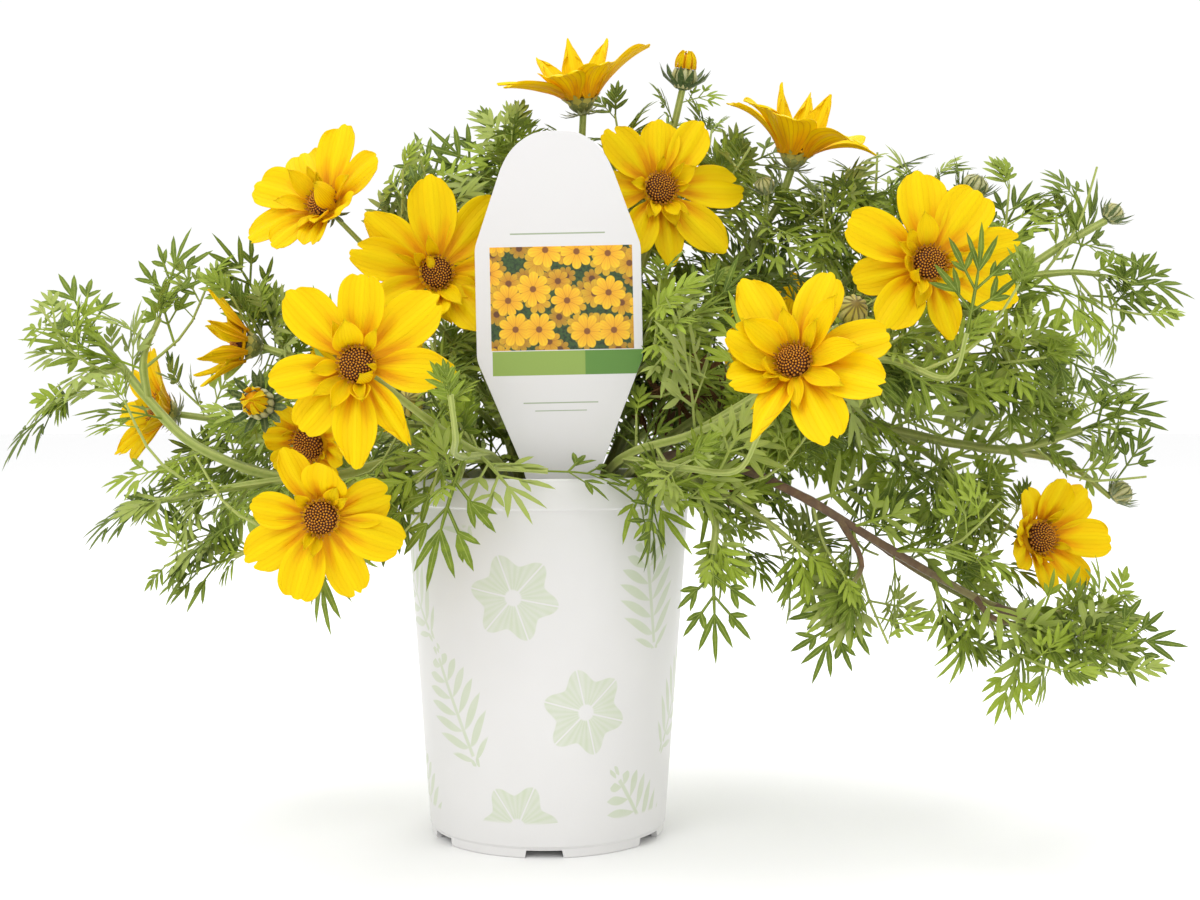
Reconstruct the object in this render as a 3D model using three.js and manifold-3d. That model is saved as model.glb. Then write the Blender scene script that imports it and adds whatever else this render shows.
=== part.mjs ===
// Potted bidens: a white nursery pot full of potting mix, with a trailing plant rooted in it and a plant
// label at the front rim. The plant has spreading stems, fern-cut leaves, buds and yellow flowers.
// Millimetres, +Z up. The pot stands on z = 0, its axis is the Z axis, and the label faces -Y.
import * as THREE from "three";
import { mergeVertices } from "three/addons/utils/BufferGeometryUtils.js";
import Module from "manifold-3d";

const wasm = await Module();
wasm.setup();

const FIT_GAP = 0.3; // clearance kept between pieces that touch
const DEG = Math.PI / 180;
const TURN = 2 * Math.PI;

const POT = {
  height: 132,
  rimRadius: 53.5,
  rimDepth: 10.6,
  mouthRadius: 51.4,
  shoulderRadius: 52,
  bottomRadius: 43.6,
  footRadius: 42.9,
  footHeight: 2.4,
  footWidth: 2.6,
  wall: 1.2,
  floor: 1.4,
  sides: 36,
};
const NOTCH = { count: 6, width: 14, topWidth: 12.4, height: 2.8 };
const DRAIN = { radius: 3.5, ring: 33, sides: 6 };
const SOIL = { top: 117, lump: 1.7, rings: [0.5, 1], holeDepth: 12 };
const LABEL = {
  y: -38,
  centre: 6.3,
  thickness: 0.8,
  halfWidth: 28.8,
  shoulderZ: 212,
  waistZ: 173,
  top: 253,
  crownRadius: 20.5,
  soilHalfWidth: 13,
  stakeHalfWidth: 7,
  stakeShoulderZ: 100,
  tip: 62,
  lean: 1.2 * DEG,
  viewDepth: 70,
};
const STEM = {
  sides: 4,
  branchSides: 3,
  headSides: 5,
  stepLength: 30,
  straight: 3,
  holeGap: 0.4,
  branchShare: 0.66,
  endShare: 0.6,
  leafyBranch: [0.35, 1],
};
const LEAF = {
  length: 41,
  thickness: 0.7,
  spacing: 35,
  clear: 0.5,
  arch: 0.16,
  turns: [0, 40, -40, 80, -80, 130, -130, 180],
  faces: { up: 0.5, out: 0.2, front: 0.45, along: 0.45 },
};
const HUB = { radius: 7.3, top: 0.7, bottom: -0.9 };
const RAY = {
  count: 8,
  half: 0.245,
  thickness: 0.7,
  widest: 0.62,
  tipWidth: 0.6,
  notch: 0.92,
  cup: 0.15,
  room: 0.94,
};
const INNER_RAY = { count: 2, ring: 6.4, lift: 64, thickness: 0.7 };
const DISC = { radius: 5.3, bump: 0.35, height: 3.4, sides: 8 };
const CALYX = { radius: 4.5, depth: 6, neck: 1.4, bractReach: 9 };
const BUD = { radius: 4.6, depth: 8, bractReach: 8.5 };

// Each flower: where the middle of its rays is, the way it faces, how far its rays reach, how steeply they
// lift from flat, how that lift changes round it (lean, and the clock angle where it is most) and how they
// curl. The clock angle is 0 at the right and 90 at the top, seen from the front. showsBack is for a flower
// whose bracts show. rays lists its rays in order round it: the clock angle, the reach, half the width and any
// further lift of each. A flower without that list has even rays, the first at the clock angle first.
const BLOOMS = {
  crown: {
    at: [12, 0, 271], faces: [-0.15, -0.1, 0.98],
    reach: 31, lift: 40, lean: 28, leanAt: 50, curl: -22, showsBack: true,
    rays: [[0, 33, 7.2], [40, 31, 6], [92, 33, 6.5], [135, 29, 6], [165, 31, 5.6], [205, 30, 6.2],
      [248, 26, 6.8], [300, 26, 6.8]],
  },
  left_high: {
    at: [-79, -20, 228.7], faces: [-0.35, -0.8, 0.45],
    reach: 30, lift: 24, lean: 16, leanAt: 320, curl: -14,
    rays: [[30, 27, 7], [84, 31, 7.2], [127, 30.5, 7.2], [165, 31, 7.6], [207, 31, 7.4], [240, 26, 5.6],
      [280, 25, 5], [330, 25, 7]],
  },
  left_inner: {
    at: [-38.5, -25, 203.9], faces: [0.1, -0.97, -0.05],
    reach: 31, lift: 26, lean: 20, leanAt: 270, curl: -12,
    rays: [[50, 34, 7.5], [93, 34, 8], [140, 32, 6.5], [168, 32.5, 7], [212, 29, 6.5], [262, 24, 6, 10],
      [310, 29, 6.5], [355, 31, 7.2]],
  },
  left_front: {
    at: [-57, -90, 169.5], faces: [0, -1, 0.05],
    reach: 31.5, lift: 14, lean: 6, leanAt: 250, curl: -10,
    rays: [[39, 33.5, 7.8], [84, 29.5, 7], [132, 31.5, 7.4], [192, 28, 6.4], [230, 28, 6.4],
      [270, 35, 6.6], [305, 32, 4.6], [353, 33, 6.6]],
  },
  left_low: {
    at: [-71, -75, 120.4], faces: [0, -1, 0.04],
    reach: 27, lift: 14, lean: 8, leanAt: 90, curl: -14,
    rays: [[16, 24, 7.2], [80, 22, 7.2, 25], [118, 26, 5], [171, 23, 5.6], [209, 28.5, 7], [251, 28.5, 7],
      [296, 28.5, 6.4], [340, 29.5, 7]],
  },
  left_side: {
    at: [-111.7, -5, 179.1], faces: [-0.95, -0.25, 0.1],
    reach: 25, lift: 58, lean: 8, leanAt: 270, curl: -12, showsBack: true, first: 20,
  },
  left_far: {
    at: [-150, 25, 155], faces: [-0.75, -0.6, 0.2],
    reach: 25, lift: 38, lean: 8, leanAt: 0, curl: -14, showsBack: true, first: 10,
  },
  left_hidden: {
    at: [-80, -45, 144], faces: [-0.3, -0.9, -0.25],
    reach: 17, lift: 30, lean: 0, leanAt: 0, curl: -8, inner: 0, first: 30,
  },
  label_right: {
    at: [41, -12, 235.1], faces: [0.2, -0.96, 0.1],
    reach: 29, lift: 12, lean: 6, leanAt: 180, curl: -12,
    rays: [[5, 31.5, 7.8], [55, 29, 6.4], [92, 25, 6.8], [138, 29.5, 7], [187, 29, 7], [240, 29, 6],
      [278, 30, 5.4], [312, 33, 6.8]],
  },
  right_high: {
    at: [92, 5, 251.6], faces: [0.2, -0.15, 0.97],
    reach: 32, lift: 38, lean: 20, leanAt: 115, curl: -40, showsBack: true,
    rays: [[8, 33, 7.2], [50, 31, 5], [90, 31, 5], [130, 30, 5.5], [170, 34, 6], [205, 32, 6],
      [250, 31, 8.5], [310, 30, 7.5]],
  },
  right_upper: {
    at: [129.5, -55, 204.4], faces: [0.05, -1, 0.1],
    reach: 31.5, lift: 13, lean: 8, leanAt: 250, curl: -12,
    rays: [[11, 32.5, 6.6], [55, 31, 8.4], [97, 32, 8.2], [154, 33, 7.8], [195, 28, 6.2], [232, 31, 7.2],
      [284, 28, 5], [336, 31.5, 7]],
  },
  right_front: {
    at: [81, -85, 170.3], faces: [-0.3, -0.8, 0.4],
    reach: 33, lift: 20, lean: 12, leanAt: 200, curl: -14,
    rays: [[18, 32, 7], [70, 32, 7.6], [125, 35, 7], [165, 25, 7, 15], [215, 24, 6.5, 12], [258, 35, 5.2],
      [299, 34, 7.6], [341, 34, 7.6]],
  },
  right_far: {
    at: [176.8, -20, 109.5], faces: [0.35, -0.9, 0.1],
    reach: 25, lift: 40, lean: 8, leanAt: 180, curl: -16, showsBack: true,
    rays: [[43, 25, 6.2], [75, 24, 5.6], [120, 22, 5.5], [165, 22, 5.5], [205, 22, 5.5], [255, 24, 5],
      [310, 24, 5.6], [358, 27, 6.6]],
  },
  back_left: {
    at: [-75, 60, 170], faces: [-0.4, 0.85, 0.3],
    reach: 28, lift: 16, lean: 8, leanAt: 90, curl: -12, inner: 0, first: 70,
  },
  back_high: {
    at: [-20, 75, 215], faces: [-0.2, 0.8, 0.55],
    reach: 29, lift: 22, lean: 8, leanAt: 30, curl: -14, inner: 0, first: 85,
  },
  back_right: {
    at: [95, 80, 185], faces: [0.3, 0.85, 0.4],
    reach: 29, lift: 18, lean: 8, leanAt: 200, curl: -14, inner: 0, first: 60,
  },
};
// Buds: where each one sits, the way it points, how big it is, and whether it has opened to show its rays.
const BUDS = {
  top: { at: [50.8, 0, 281], faces: [0.15, -0.2, 1], size: 1, open: true },
  left: { at: [-95, -62, 158], faces: [0, -1, 0.1], size: 1.1, open: true },
  inner: { at: [-46, -50, 158.7], faces: [-0.1, -0.95, 0.2], size: 1, open: false },
  high: { at: [78.8, -5, 239.7], faces: [-0.3, -0.3, 0.9], size: 0.75, open: false },
  right_top: { at: [159.2, 0, 241], faces: [0.4, -0.3, 0.85], size: 1.05, open: false },
  far_top: { at: [206, -15, 228], faces: [0.7, -0.1, 0.7], size: 0.8, open: false },
  middle: { at: [105, -55, 190.6], faces: [0.1, -0.9, 0.4], size: 1.05, open: false },
  far_right: { at: [212, -10, 127], faces: [0.8, -0.2, 0.5], size: 0.9, open: false },
};
// Stems: each stands in the soil at root and follows path. A branch leaves it at a share of its length. ends
// names the flower or bud that a stem or branch carries, and leafy is the stretch that bears leaves.
const STEMS = {
  left_main: {
    root: [-26, -6], radius: 2.3, leafy: [0.31, 1],
    path: [[-40, -18, 137.5], [-54, -27, 137], [-76, -31, 132], [-98, -26, 132.5], [-129, -15, 144],
      [-145, -10, 159], [-155, -6, 170], [-165, -3, 181]],
    branches: [
      { share: 0.83, path: [[-147, -9, 174], [-142, -6, 189]] },
      { share: 0.92, path: [[-166, -7, 168], [-175, -7, 160]] },
      { share: 0.43, path: [[-116, -31, 127], [-137, -28, 123]] },
    ],
  },
  left_lower: {
    root: [-22, -16], radius: 1.9, leafy: [0.35, 0.88], ends: "left_low",
    path: [[-36, -32, 137.5], [-50, -46, 135], [-63, -56, 127]],
    branches: [{ share: 0.67, path: [[-85, -50, 115], [-106, -44, 105]] }],
  },
  left_mid: {
    root: [-15, -4], radius: 2, leafy: [0.21, 0.91], ends: "left_side",
    path: [[-28, -8, 142], [-55, -12, 160], [-85, -7, 172]],
    branches: [
      { share: 0.49, path: [[-76, -36, 162]], ends: "left" },
      { share: 0.34, path: [[-62, -30, 150]], ends: "left_hidden" },
    ],
  },
  left_back: {
    root: [-24, 6], radius: 2, leafy: [0.22, 0.94], ends: "left_far",
    path: [[-44, 12, 140], [-80, 18, 147], [-115, 25, 150]],
    branches: [
      { share: 0.44, path: [[-96, 22, 172], [-106, 14, 191]] },
      { share: 0.62, path: [[-120, 30, 136], [-140, 24, 128]] },
    ],
  },
  front_left: {
    root: [-12, -22], radius: 2, leafy: [0.42, 0.88], ends: "left_front",
    path: [[-17, -38, 138], [-24, -56, 142], [-38, -70, 153]],
    branches: [
      { share: 0.33, path: [[-27, -80, 141], [-25, -103, 148], [-26, -108, 160]] },
      { share: 0.19, path: [[-14, -58, 136], [2, -61, 135]] },
      { share: 0.28, path: [[-36, -53, 136.5], [-43, -54, 131]] },
    ],
  },
  top_left: {
    root: [-8, 4], radius: 2, leafy: [0.18, 0.91], ends: "left_inner",
    path: [[-16, -2, 150], [-27, -8, 180]],
    branches: [
      { share: 0.28, path: [[-30, -28, 159]], ends: "inner" },
      { share: 0.6, path: [[-30, 4, 214], [-37, 7, 232]] },
      { share: 0.3, path: [[-40, 0, 186], [-60, -6, 208]], ends: "left_high" },
    ],
  },
  top: {
    root: [0, 12], radius: 1.9, leafy: [0.17, 0.85], ends: "crown",
    path: [[3, 10, 160], [8, 8, 205], [12, 4, 245]],
    branches: [{ share: 0.65, path: [[-10, 5, 222], [-20, 2, 233]] }],
  },
  top_right: {
    root: [9, 10], radius: 1.9, leafy: [0.23, 0.95], ends: "top",
    path: [[18, 12, 165], [34, 10, 220], [46, 4, 258]],
    branches: [{ share: 0.63, path: [[54, 16, 236], [70, 20, 246]] }],
  },
  label_right: {
    root: [6, -8], radius: 1.9, leafy: [0.16, 0.83], ends: "label_right",
    path: [[14, -12, 150], [28, -8, 190], [39, -1, 222]],
    branches: [{ share: 0.32, path: [[34, -26, 170], [48, -34, 182]] }],
  },
  right_upper: {
    root: [16, 8], radius: 2.1, leafy: [0.17, 0.89], ends: "right_high",
    path: [[36, 14, 160], [66, 16, 203], [86, 10, 232]],
    branches: [
      { share: 0.76, path: [[80, 2, 224]], ends: "high" },
      { share: 0.39, path: [[66, 34, 186], [86, 42, 204]] },
    ],
  },
  right_top: {
    root: [24, 14], radius: 2.1, leafy: [0.19, 0.95], ends: "right_top",
    path: [[58, 24, 155], [100, 24, 193], [135, 12, 222]],
    branches: [
      { share: 0.63, path: [[112, 14, 221], [118, 9, 228]] },
      { share: 0.46, path: [[112, 44, 190], [132, 52, 200]] },
    ],
  },
  right_far_top: {
    root: [30, 4], radius: 2.1, leafy: [0.23, 0.95], ends: "far_top",
    path: [[66, 6, 146], [115, 0, 172], [160, -8, 197], [185, -13, 214]],
    branches: [
      { share: 0.81, path: [[190, -14, 205], [199, -16, 204]] },
      { share: 0.72, path: [[161, -3, 206], [163, -2, 212]] },
      { share: 0.57, path: [[150, -26, 186], [172, -34, 178]] },
    ],
  },
  right_mid: {
    root: [20, -2], radius: 2, leafy: [0.17, 0.87], ends: "right_upper",
    path: [[46, -14, 146], [85, -28, 172], [114, -38, 192]],
    branches: [{ share: 0.58, path: [[116, -56, 172], [133, -74, 166], [137, -79, 180]] }],
  },
  right_long: {
    root: [28, -6], radius: 2.2, leafy: [0.19, 1],
    path: [[60, -14, 143], [105, -12, 151], [149, -9, 143], [170, -10, 141], [194, -12, 148]],
    branches: [
      { share: 0.83, path: [[190, -6, 136]], ends: "far_right" },
      { share: 0.61, path: [[147, 0, 134], [162, 0, 118]], ends: "right_far" },
      { share: 0.46, path: [[132, -24, 164], [152, -30, 160]] },
    ],
  },
  woody: {
    root: [24, -14], radius: 2.1, leafy: [0.46, 1],
    path: [[44, -27, 139], [62, -34, 137], [88, -38, 126], [110, -39, 113], [138, -38, 96.5], [160, -37, 86],
      [182, -35, 84]],
    branches: [
      { share: 0.24, path: [[84, -26, 128], [110, -24, 113], [134, -22, 97], [154, -18, 86]] },
      { share: 0.52, path: [[109, -46, 102], [105, -47, 95]] },
      { share: 0.82, path: [[154, -46, 84], [163, -50, 82]] },
      { share: 0.86, path: [[174, -46, 80], [185, -49, 79]] },
    ],
  },
  right_front: {
    root: [13, -18], radius: 2, leafy: [0.26, 0.89], ends: "right_front",
    path: [[28, -36, 139], [50, -54, 147], [72, -66, 157]],
    branches: [
      { share: 0.57, path: [[84, -52, 168], [100, -46, 180]], ends: "middle" },
      { share: 0.27, path: [[48, -64, 136], [64, -76, 136], [70, -84, 148]] },
    ],
  },
  right_low: {
    root: [20, -24], radius: 1.8, leafy: [0.29, 1],
    path: [[36, -38, 137.5], [50, -48, 132], [58, -55, 118], [57, -58, 107]],
    branches: [
      { share: 0.47, path: [[74, -52, 119], [90, -50, 106]] },
      { share: 0.21, path: [[34, -54, 137], [37, -60, 127]] },
    ],
  },
  back_left: {
    root: [-16, 18], radius: 2, leafy: [0.17, 0.88], ends: "back_left",
    path: [[-32, 36, 142], [-54, 48, 158]],
    branches: [{ share: 0.47, path: [[-66, 58, 138], [-92, 70, 126], [-112, 74, 122]] }],
  },
  back: {
    root: [-4, 26], radius: 2, leafy: [0.2, 0.89], ends: "back_high",
    path: [[-8, 44, 150], [-16, 56, 185]],
    branches: [
      { share: 0.24, path: [[-10, 66, 141], [-14, 90, 126], [-16, 106, 110]] },
      { share: 0.56, path: [[6, 54, 196], [14, 50, 216]] },
    ],
  },
  back_right: {
    root: [14, 24], radius: 2, leafy: [0.21, 0.89], ends: "back_right",
    path: [[36, 42, 146], [62, 56, 162]],
    branches: [
      { share: 0.38, path: [[76, 62, 140], [108, 66, 130], [136, 62, 122]] },
      { share: 0.32, path: [[44, 66, 140], [52, 92, 128]] },
    ],
  },
};

const UP = new THREE.Vector3(0, 0, 1);
const BACK = new THREE.Vector3(0, 1, 0);
const LEAF_CLOCK_REFERENCE = new THREE.Vector3(0.35, 0.25, 0.9).normalize();

// The left half of a fern-cut leaf of unit length, from its stalk out to its tip. Its foot is a point.
const LEAF_FOOT = -0.03;
const LEAF_HALF = [[0.26, 0.03], [0.52, 0.34], [0.46, 0.07], [0.76, 0.27], [0.67, 0.075]];
const LEAF_RIGHT = LEAF_HALF.map(([x, y]) => [x, -y]);
const LEAF_OUTLINE = [[LEAF_FOOT, 0], ...LEAF_RIGHT, [1, 0], ...LEAF_HALF.toReversed()];
const LEAF_FACES = THREE.ShapeUtils.triangulateShape(flatPoints(LEAF_OUTLINE), []);

const material = (color, roughness) => new THREE.MeshStandardMaterial({ color, roughness, metalness: 0 });
const MATERIALS = {
  pot: material(0xe9e7e3, 0.45),
  label: material(0xeceae8, 0.5),
  soil: material(0x33241a, 0.95),
  foliage: material(0x5f8a3a, 0.7),
  rays: material(0xfad60c, 0.6),
  disc: material(0xb05a14, 0.8),
};

const part = new THREE.Group();
const placed = []; // every finished solid with its name and look, so that leaves can be turned clear of it

// A repeatable draw from 0 to 1 for three whole numbers.
function draw(a, b, c) {
  const s = Math.sin(a * 12.9898 + b * 78.233 + c * 37.719) * 43758.5453;
  return s - Math.floor(s);
}

function flatPoints(pairs) {
  return pairs.map(([x, y]) => new THREE.Vector2(x, y));
}

const vector = (p) => new THREE.Vector3(...p);
const polar = (r, angle, z) => new THREE.Vector3(r * Math.cos(angle), r * Math.sin(angle), z);

// A closed geometry as a solid for cutting and joining.
function solidOf(geometry) {
  const bare = geometry.clone();
  bare.deleteAttribute("normal");
  bare.deleteAttribute("uv");
  const merged = mergeVertices(bare, 1e-4);
  return new wasm.Manifold(
    new wasm.Mesh({
      numProp: 3,
      vertProperties: merged.attributes.position.array,
      triVerts: new Uint32Array(merged.index.array),
    }),
  );
}

// A list of points and of corner triples as a solid. The corners run anticlockwise seen from outside.
function solidFromFaces(points, faces) {
  const geometry = new THREE.BufferGeometry().setFromPoints(points);
  geometry.setIndex(faces.flat());
  return solidOf(geometry);
}

// Joined solids as one body: what the joining seals inside is filled, and a scrap apart from it is dropped.
function joined(solids) {
  const whole = solids.length > 1 ? wasm.Manifold.union(solids) : solids[0];
  const bodies = whole.decompose().filter((body) => body.volume() > 0);
  return bodies.reduce((a, b) => (a.volume() > b.volume() ? a : b));
}

// Adds a finished solid to the part as a named mesh.
function addPiece({ name, solid, look }) {
  const mesh = solid.getMesh();
  const positions = new Float32Array(mesh.numVert * 3);
  for (let i = 0; i < mesh.numVert; i++) {
    positions.set(mesh.vertProperties.subarray(i * mesh.numProp, i * mesh.numProp + 3), i * 3);
  }
  const geometry = new THREE.BufferGeometry();
  geometry.setAttribute("position", new THREE.BufferAttribute(positions, 3));
  geometry.setIndex(new THREE.BufferAttribute(mesh.triVerts, 1));
  geometry.computeVertexNormals();
  const piece = new THREE.Mesh(geometry, MATERIALS[look]);
  piece.name = name;
  part.add(piece);
}

// The walls that close a sheet of so many points along its rim. The underside repeats the sheet's points.
function rimWalls(rim, count, open) {
  const walls = [];
  rim.slice(0, open ? -1 : undefined).forEach((a, i) => {
    const b = rim[(i + 1) % rim.length];
    walls.push([a, a + count, b + count], [a, b + count, b]);
  });
  return walls;
}

// A thin sheet of points and faces as a blade of the given thickness. Both faces are split alike.
function blade(points, normals, faces, rim, thickness) {
  const count = points.length;
  const shifted = (by) => points.map((p, i) => p.clone().addScaledVector(normals[i], by));
  const under = faces.map(([a, b, c]) => [a + count, c + count, b + count]);
  const corners = [...shifted(thickness / 2), ...shifted(-thickness / 2)];
  return solidFromFaces(corners, [...faces, ...under, ...rimWalls(rim, count, false)]);
}

// A tube through stations, each with a point, a tangent and a radius. Where a station has a spike, each side
// of the band that starts there is drawn out to a point, spike.reach away and lifted by spike.lift.
function tube(stations, sides) {
  const corners = [];
  const faces = [];
  const first = stations[0].tangent;
  let across = new THREE.Vector3().crossVectors(first, Math.abs(first.z) > 0.9 ? BACK : UP);
  stations.forEach(({ point, tangent, radius }) => {
    across = across.clone().addScaledVector(tangent, -across.dot(tangent)).normalize();
    const other = new THREE.Vector3().crossVectors(tangent, across);
    for (let k = 0; k < sides; k++) {
      const { x, y } = polar(radius, (TURN * k) / sides, 0);
      corners.push(point.clone().addScaledVector(across, x).addScaledVector(other, y));
    }
  });
  stations.slice(0, -1).forEach(({ point, tangent, spike }, i) => {
    for (let k = 0; k < sides; k++) {
      const a = i * sides + k;
      const b = i * sides + ((k + 1) % sides);
      if (spike) {
        const out = corners[a].clone().add(corners[b]).multiplyScalar(0.5).sub(point).normalize();
        const tip = point.clone().addScaledVector(out, spike.reach).addScaledVector(tangent, spike.lift);
        const apex = corners.push(tip) - 1;
        faces.push([a, b, apex], [b, b + sides, apex], [b + sides, a + sides, apex], [a + sides, a, apex]);
      } else {
        faces.push([a, b, b + sides], [a, b + sides, a + sides]);
      }
    }
  });
  const last = (stations.length - 1) * sides;
  for (let k = 1; k + 1 < sides; k++) {
    faces.push([0, k + 1, k], [last, last + k, last + k + 1]);
  }
  return solidFromFaces(corners, faces);
}

function makePot() {
  const shoulderZ = POT.height - POT.rimDepth;
  const floorTop = POT.footHeight + POT.floor;
  const footInner = POT.footRadius - POT.footWidth;
  const profile = [
    [0, POT.footHeight],
    [footInner, POT.footHeight],
    [footInner, 0],
    [POT.footRadius, 0],
    [POT.footRadius, POT.footHeight + 0.8],
    [POT.bottomRadius, POT.footHeight + 1.8],
    [POT.shoulderRadius, shoulderZ],
    [POT.rimRadius, shoulderZ + 0.2],
    [POT.rimRadius, POT.height - 0.7],
    [POT.rimRadius - 0.7, POT.height],
    [POT.mouthRadius, POT.height],
    [innerRadius(shoulderZ), shoulderZ],
    [innerRadius(floorTop), floorTop],
    [0, floorTop],
  ];
  const turned = solidOf(new THREE.LatheGeometry(flatPoints(profile), POT.sides).rotateX(Math.PI / 2));
  const cuts = [];
  for (let i = 0; i < NOTCH.count; i++) {
    const angle = (TURN * i) / NOTCH.count - Math.PI / 2;
    cuts.push(notch(angle), drain(angle));
  }
  return turned.subtract(wasm.Manifold.union(cuts));
}

// Inside radius of the pot's wall at a height.
function innerRadius(z) {
  const low = POT.footHeight + 1.8;
  const share = (z - low) / (POT.height - POT.rimDepth - low);
  return POT.bottomRadius + (POT.shoulderRadius - POT.bottomRadius) * share - POT.wall;
}

// A drainage gap under the foot, wider at the floor than at its top.
function notch(angle) {
  const outline = new THREE.Shape();
  outline.moveTo(-NOTCH.width / 2, -1);
  outline.lineTo(NOTCH.width / 2, -1);
  outline.lineTo(NOTCH.topWidth / 2, NOTCH.height);
  outline.lineTo(-NOTCH.topWidth / 2, NOTCH.height);
  const depth = 9;
  const cutter = new THREE.ExtrudeGeometry(outline, { depth, bevelEnabled: false });
  cutter.rotateX(Math.PI / 2).rotateZ(Math.PI / 2);
  cutter.translate(POT.footRadius - depth / 2, 0, 0).rotateZ(angle);
  return solidOf(cutter);
}

function drain(angle) {
  const hole = new THREE.CylinderGeometry(DRAIN.radius, DRAIN.radius, 6, DRAIN.sides).rotateX(Math.PI / 2);
  hole.translate(DRAIN.ring, 0, POT.footHeight + POT.floor / 2).rotateZ(angle);
  return solidOf(hole);
}

// Lumps on top of the soil: a smooth sum of waves, gone at the wall.
function soilLump(x, y) {
  const reach = Math.hypot(x, y) / innerRadius(SOIL.top);
  const waves = Math.sin(x * 0.31 + 1) * Math.cos(y * 0.27) + 0.6 * Math.sin(x * 0.83 + y * 0.57);
  return SOIL.lump * waves * (1 - reach ** 4);
}

function makeSoil() {
  const sides = POT.sides;
  const rimAt = (z) => innerRadius(z) - FIT_GAP - 0.05;
  const points = [new THREE.Vector3(0, 0, SOIL.top + soilLump(0, 0))];
  const faces = [];
  SOIL.rings.forEach((share, ring) => {
    const inner = 1 + (ring - 1) * sides;
    for (let k = 0; k < sides; k++) {
      const { x, y } = polar(share * rimAt(SOIL.top), (TURN * k) / sides, 0);
      points.push(new THREE.Vector3(x, y, SOIL.top + soilLump(x, y)));
      const next = (k + 1) % sides;
      if (ring === 0) {
        faces.push([0, 1 + k, 1 + next]);
      } else {
        faces.push([inner + k, inner + sides + k, inner + sides + next]);
        faces.push([inner + k, inner + sides + next, inner + next]);
      }
    }
  });
  const edge = points.length - sides;
  const bottom = points.length;
  const bottomZ = POT.footHeight + POT.floor + FIT_GAP;
  for (let k = 0; k < sides; k++) {
    points.push(polar(rimAt(bottomZ), (TURN * k) / sides, bottomZ));
    const next = (k + 1) % sides;
    faces.push([edge + k, bottom + k, bottom + next], [edge + k, bottom + next, edge + next]);
    if (k > 0 && k + 1 < sides) {
      faces.push([bottom, bottom + k + 1, bottom + k]);
    }
  }
  return solidFromFaces(points, faces);
}

// The label's outline in its own plane: an arched head, sloping shoulders, a panel and a tapering stake.
function labelShape(grow) {
  const neckZ = 134;
  const stakeHalf = LABEL.stakeHalfWidth + grow;
  const half = LABEL.halfWidth + grow;
  const side = [
    [stakeHalf, LABEL.tip + 12],
    [stakeHalf, LABEL.stakeShoulderZ],
    [LABEL.soilHalfWidth + grow, neckZ],
    [half, LABEL.waistZ],
    [half, LABEL.shoulderZ],
  ];
  const arch = [22, 39, 56, 73].map((degrees) => {
    const crown = polar(LABEL.crownRadius + grow, degrees * DEG, 0);
    return [crown.x, LABEL.top - LABEL.crownRadius + crown.y];
  });
  const right = [...side, ...arch];
  const left = right.map(([x, z]) => [-x, z]).toReversed();
  return new THREE.Shape(flatPoints([[0, LABEL.tip - 2 * grow], ...right, ...left]));
}

function makeLabel(grow) {
  const depth = LABEL.thickness + 2 * grow;
  const sheet = new THREE.ExtrudeGeometry(labelShape(grow), { depth, bevelEnabled: false });
  sheet.translate(0, 0, -depth / 2).rotateX(Math.PI / 2);
  sheet.translate(0, 0, -POT.height).rotateX(-LABEL.lean).rotateY(-LABEL.lean);
  sheet.translate(LABEL.centre, LABEL.y, POT.height);
  return solidOf(sheet);
}

// The space before the label that leaves keep out of, so that it can be read.
function makeLabelView() {
  const view = new THREE.BoxGeometry(1.7 * LABEL.halfWidth, LABEL.viewDepth, LABEL.top - POT.height);
  view.translate(LABEL.centre, LABEL.y - LABEL.viewDepth / 2, (LABEL.top + POT.height) / 2 + 8);
  return solidOf(view);
}

// Where a flower or bud stands: x to its right, y up it and z the way it faces.
function placeAt({ at, faces }) {
  const z = vector(faces).normalize();
  const x = new THREE.Vector3().crossVectors(Math.abs(z.z) > 0.8 ? BACK : UP, z).normalize();
  const y = new THREE.Vector3().crossVectors(z, x);
  return new THREE.Matrix4().makeBasis(x, y, z).setPosition(...at);
}

// A point on a ray: at a share of its length from the hub, and so far to its side.
function rayPoint(spec, rayOf, share, across) {
  const slope = (rayOf.lift + spec.curl * share) * DEG;
  const chord = (rayOf.lift + 0.5 * spec.curl * share) * DEG;
  const rise = RAY.cup * Math.abs(across);
  const along = rayOf.length * share;
  const r = HUB.radius + along * Math.cos(chord) - rise * Math.sin(slope);
  const point = new THREE.Vector3(r, across, along * Math.sin(chord) + rise * Math.cos(slope));
  const normal = new THREE.Vector3(-Math.sin(slope), 0, Math.cos(slope));
  const turn = new THREE.Matrix4().makeRotationZ(rayOf.clock);
  return { point: point.applyMatrix4(turn), normal: normal.applyMatrix4(turn) };
}

// The even rays of a flower that has no list of its own.
function evenRays({ first, reach }, seed) {
  return Array.from({ length: RAY.count }, (_, k) => {
    const length = (reach - HUB.radius) * (0.93 + 0.12 * draw(seed, k, 2));
    return [first + (360 * k) / RAY.count, HUB.radius + length, RAY.half * reach];
  });
}

// The rays of a flower, with half the gap before each one.
function raysOf(spec, seed) {
  const rows = spec.rays ?? evenRays(spec, seed);
  return rows.map(([clock, reach, half, raise = 0], k) => {
    const [previous] = rows.at(k - 1);
    const lean = spec.lean * Math.cos((clock - spec.leanAt) * DEG);
    return {
      clock: clock * DEG,
      length: reach - HUB.radius,
      half,
      lift: spec.lift + lean + raise + (k % 2 ? 5 : -5),
      before: (((clock - previous + 360) % 360) / 2) * DEG,
    };
  });
}

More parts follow.
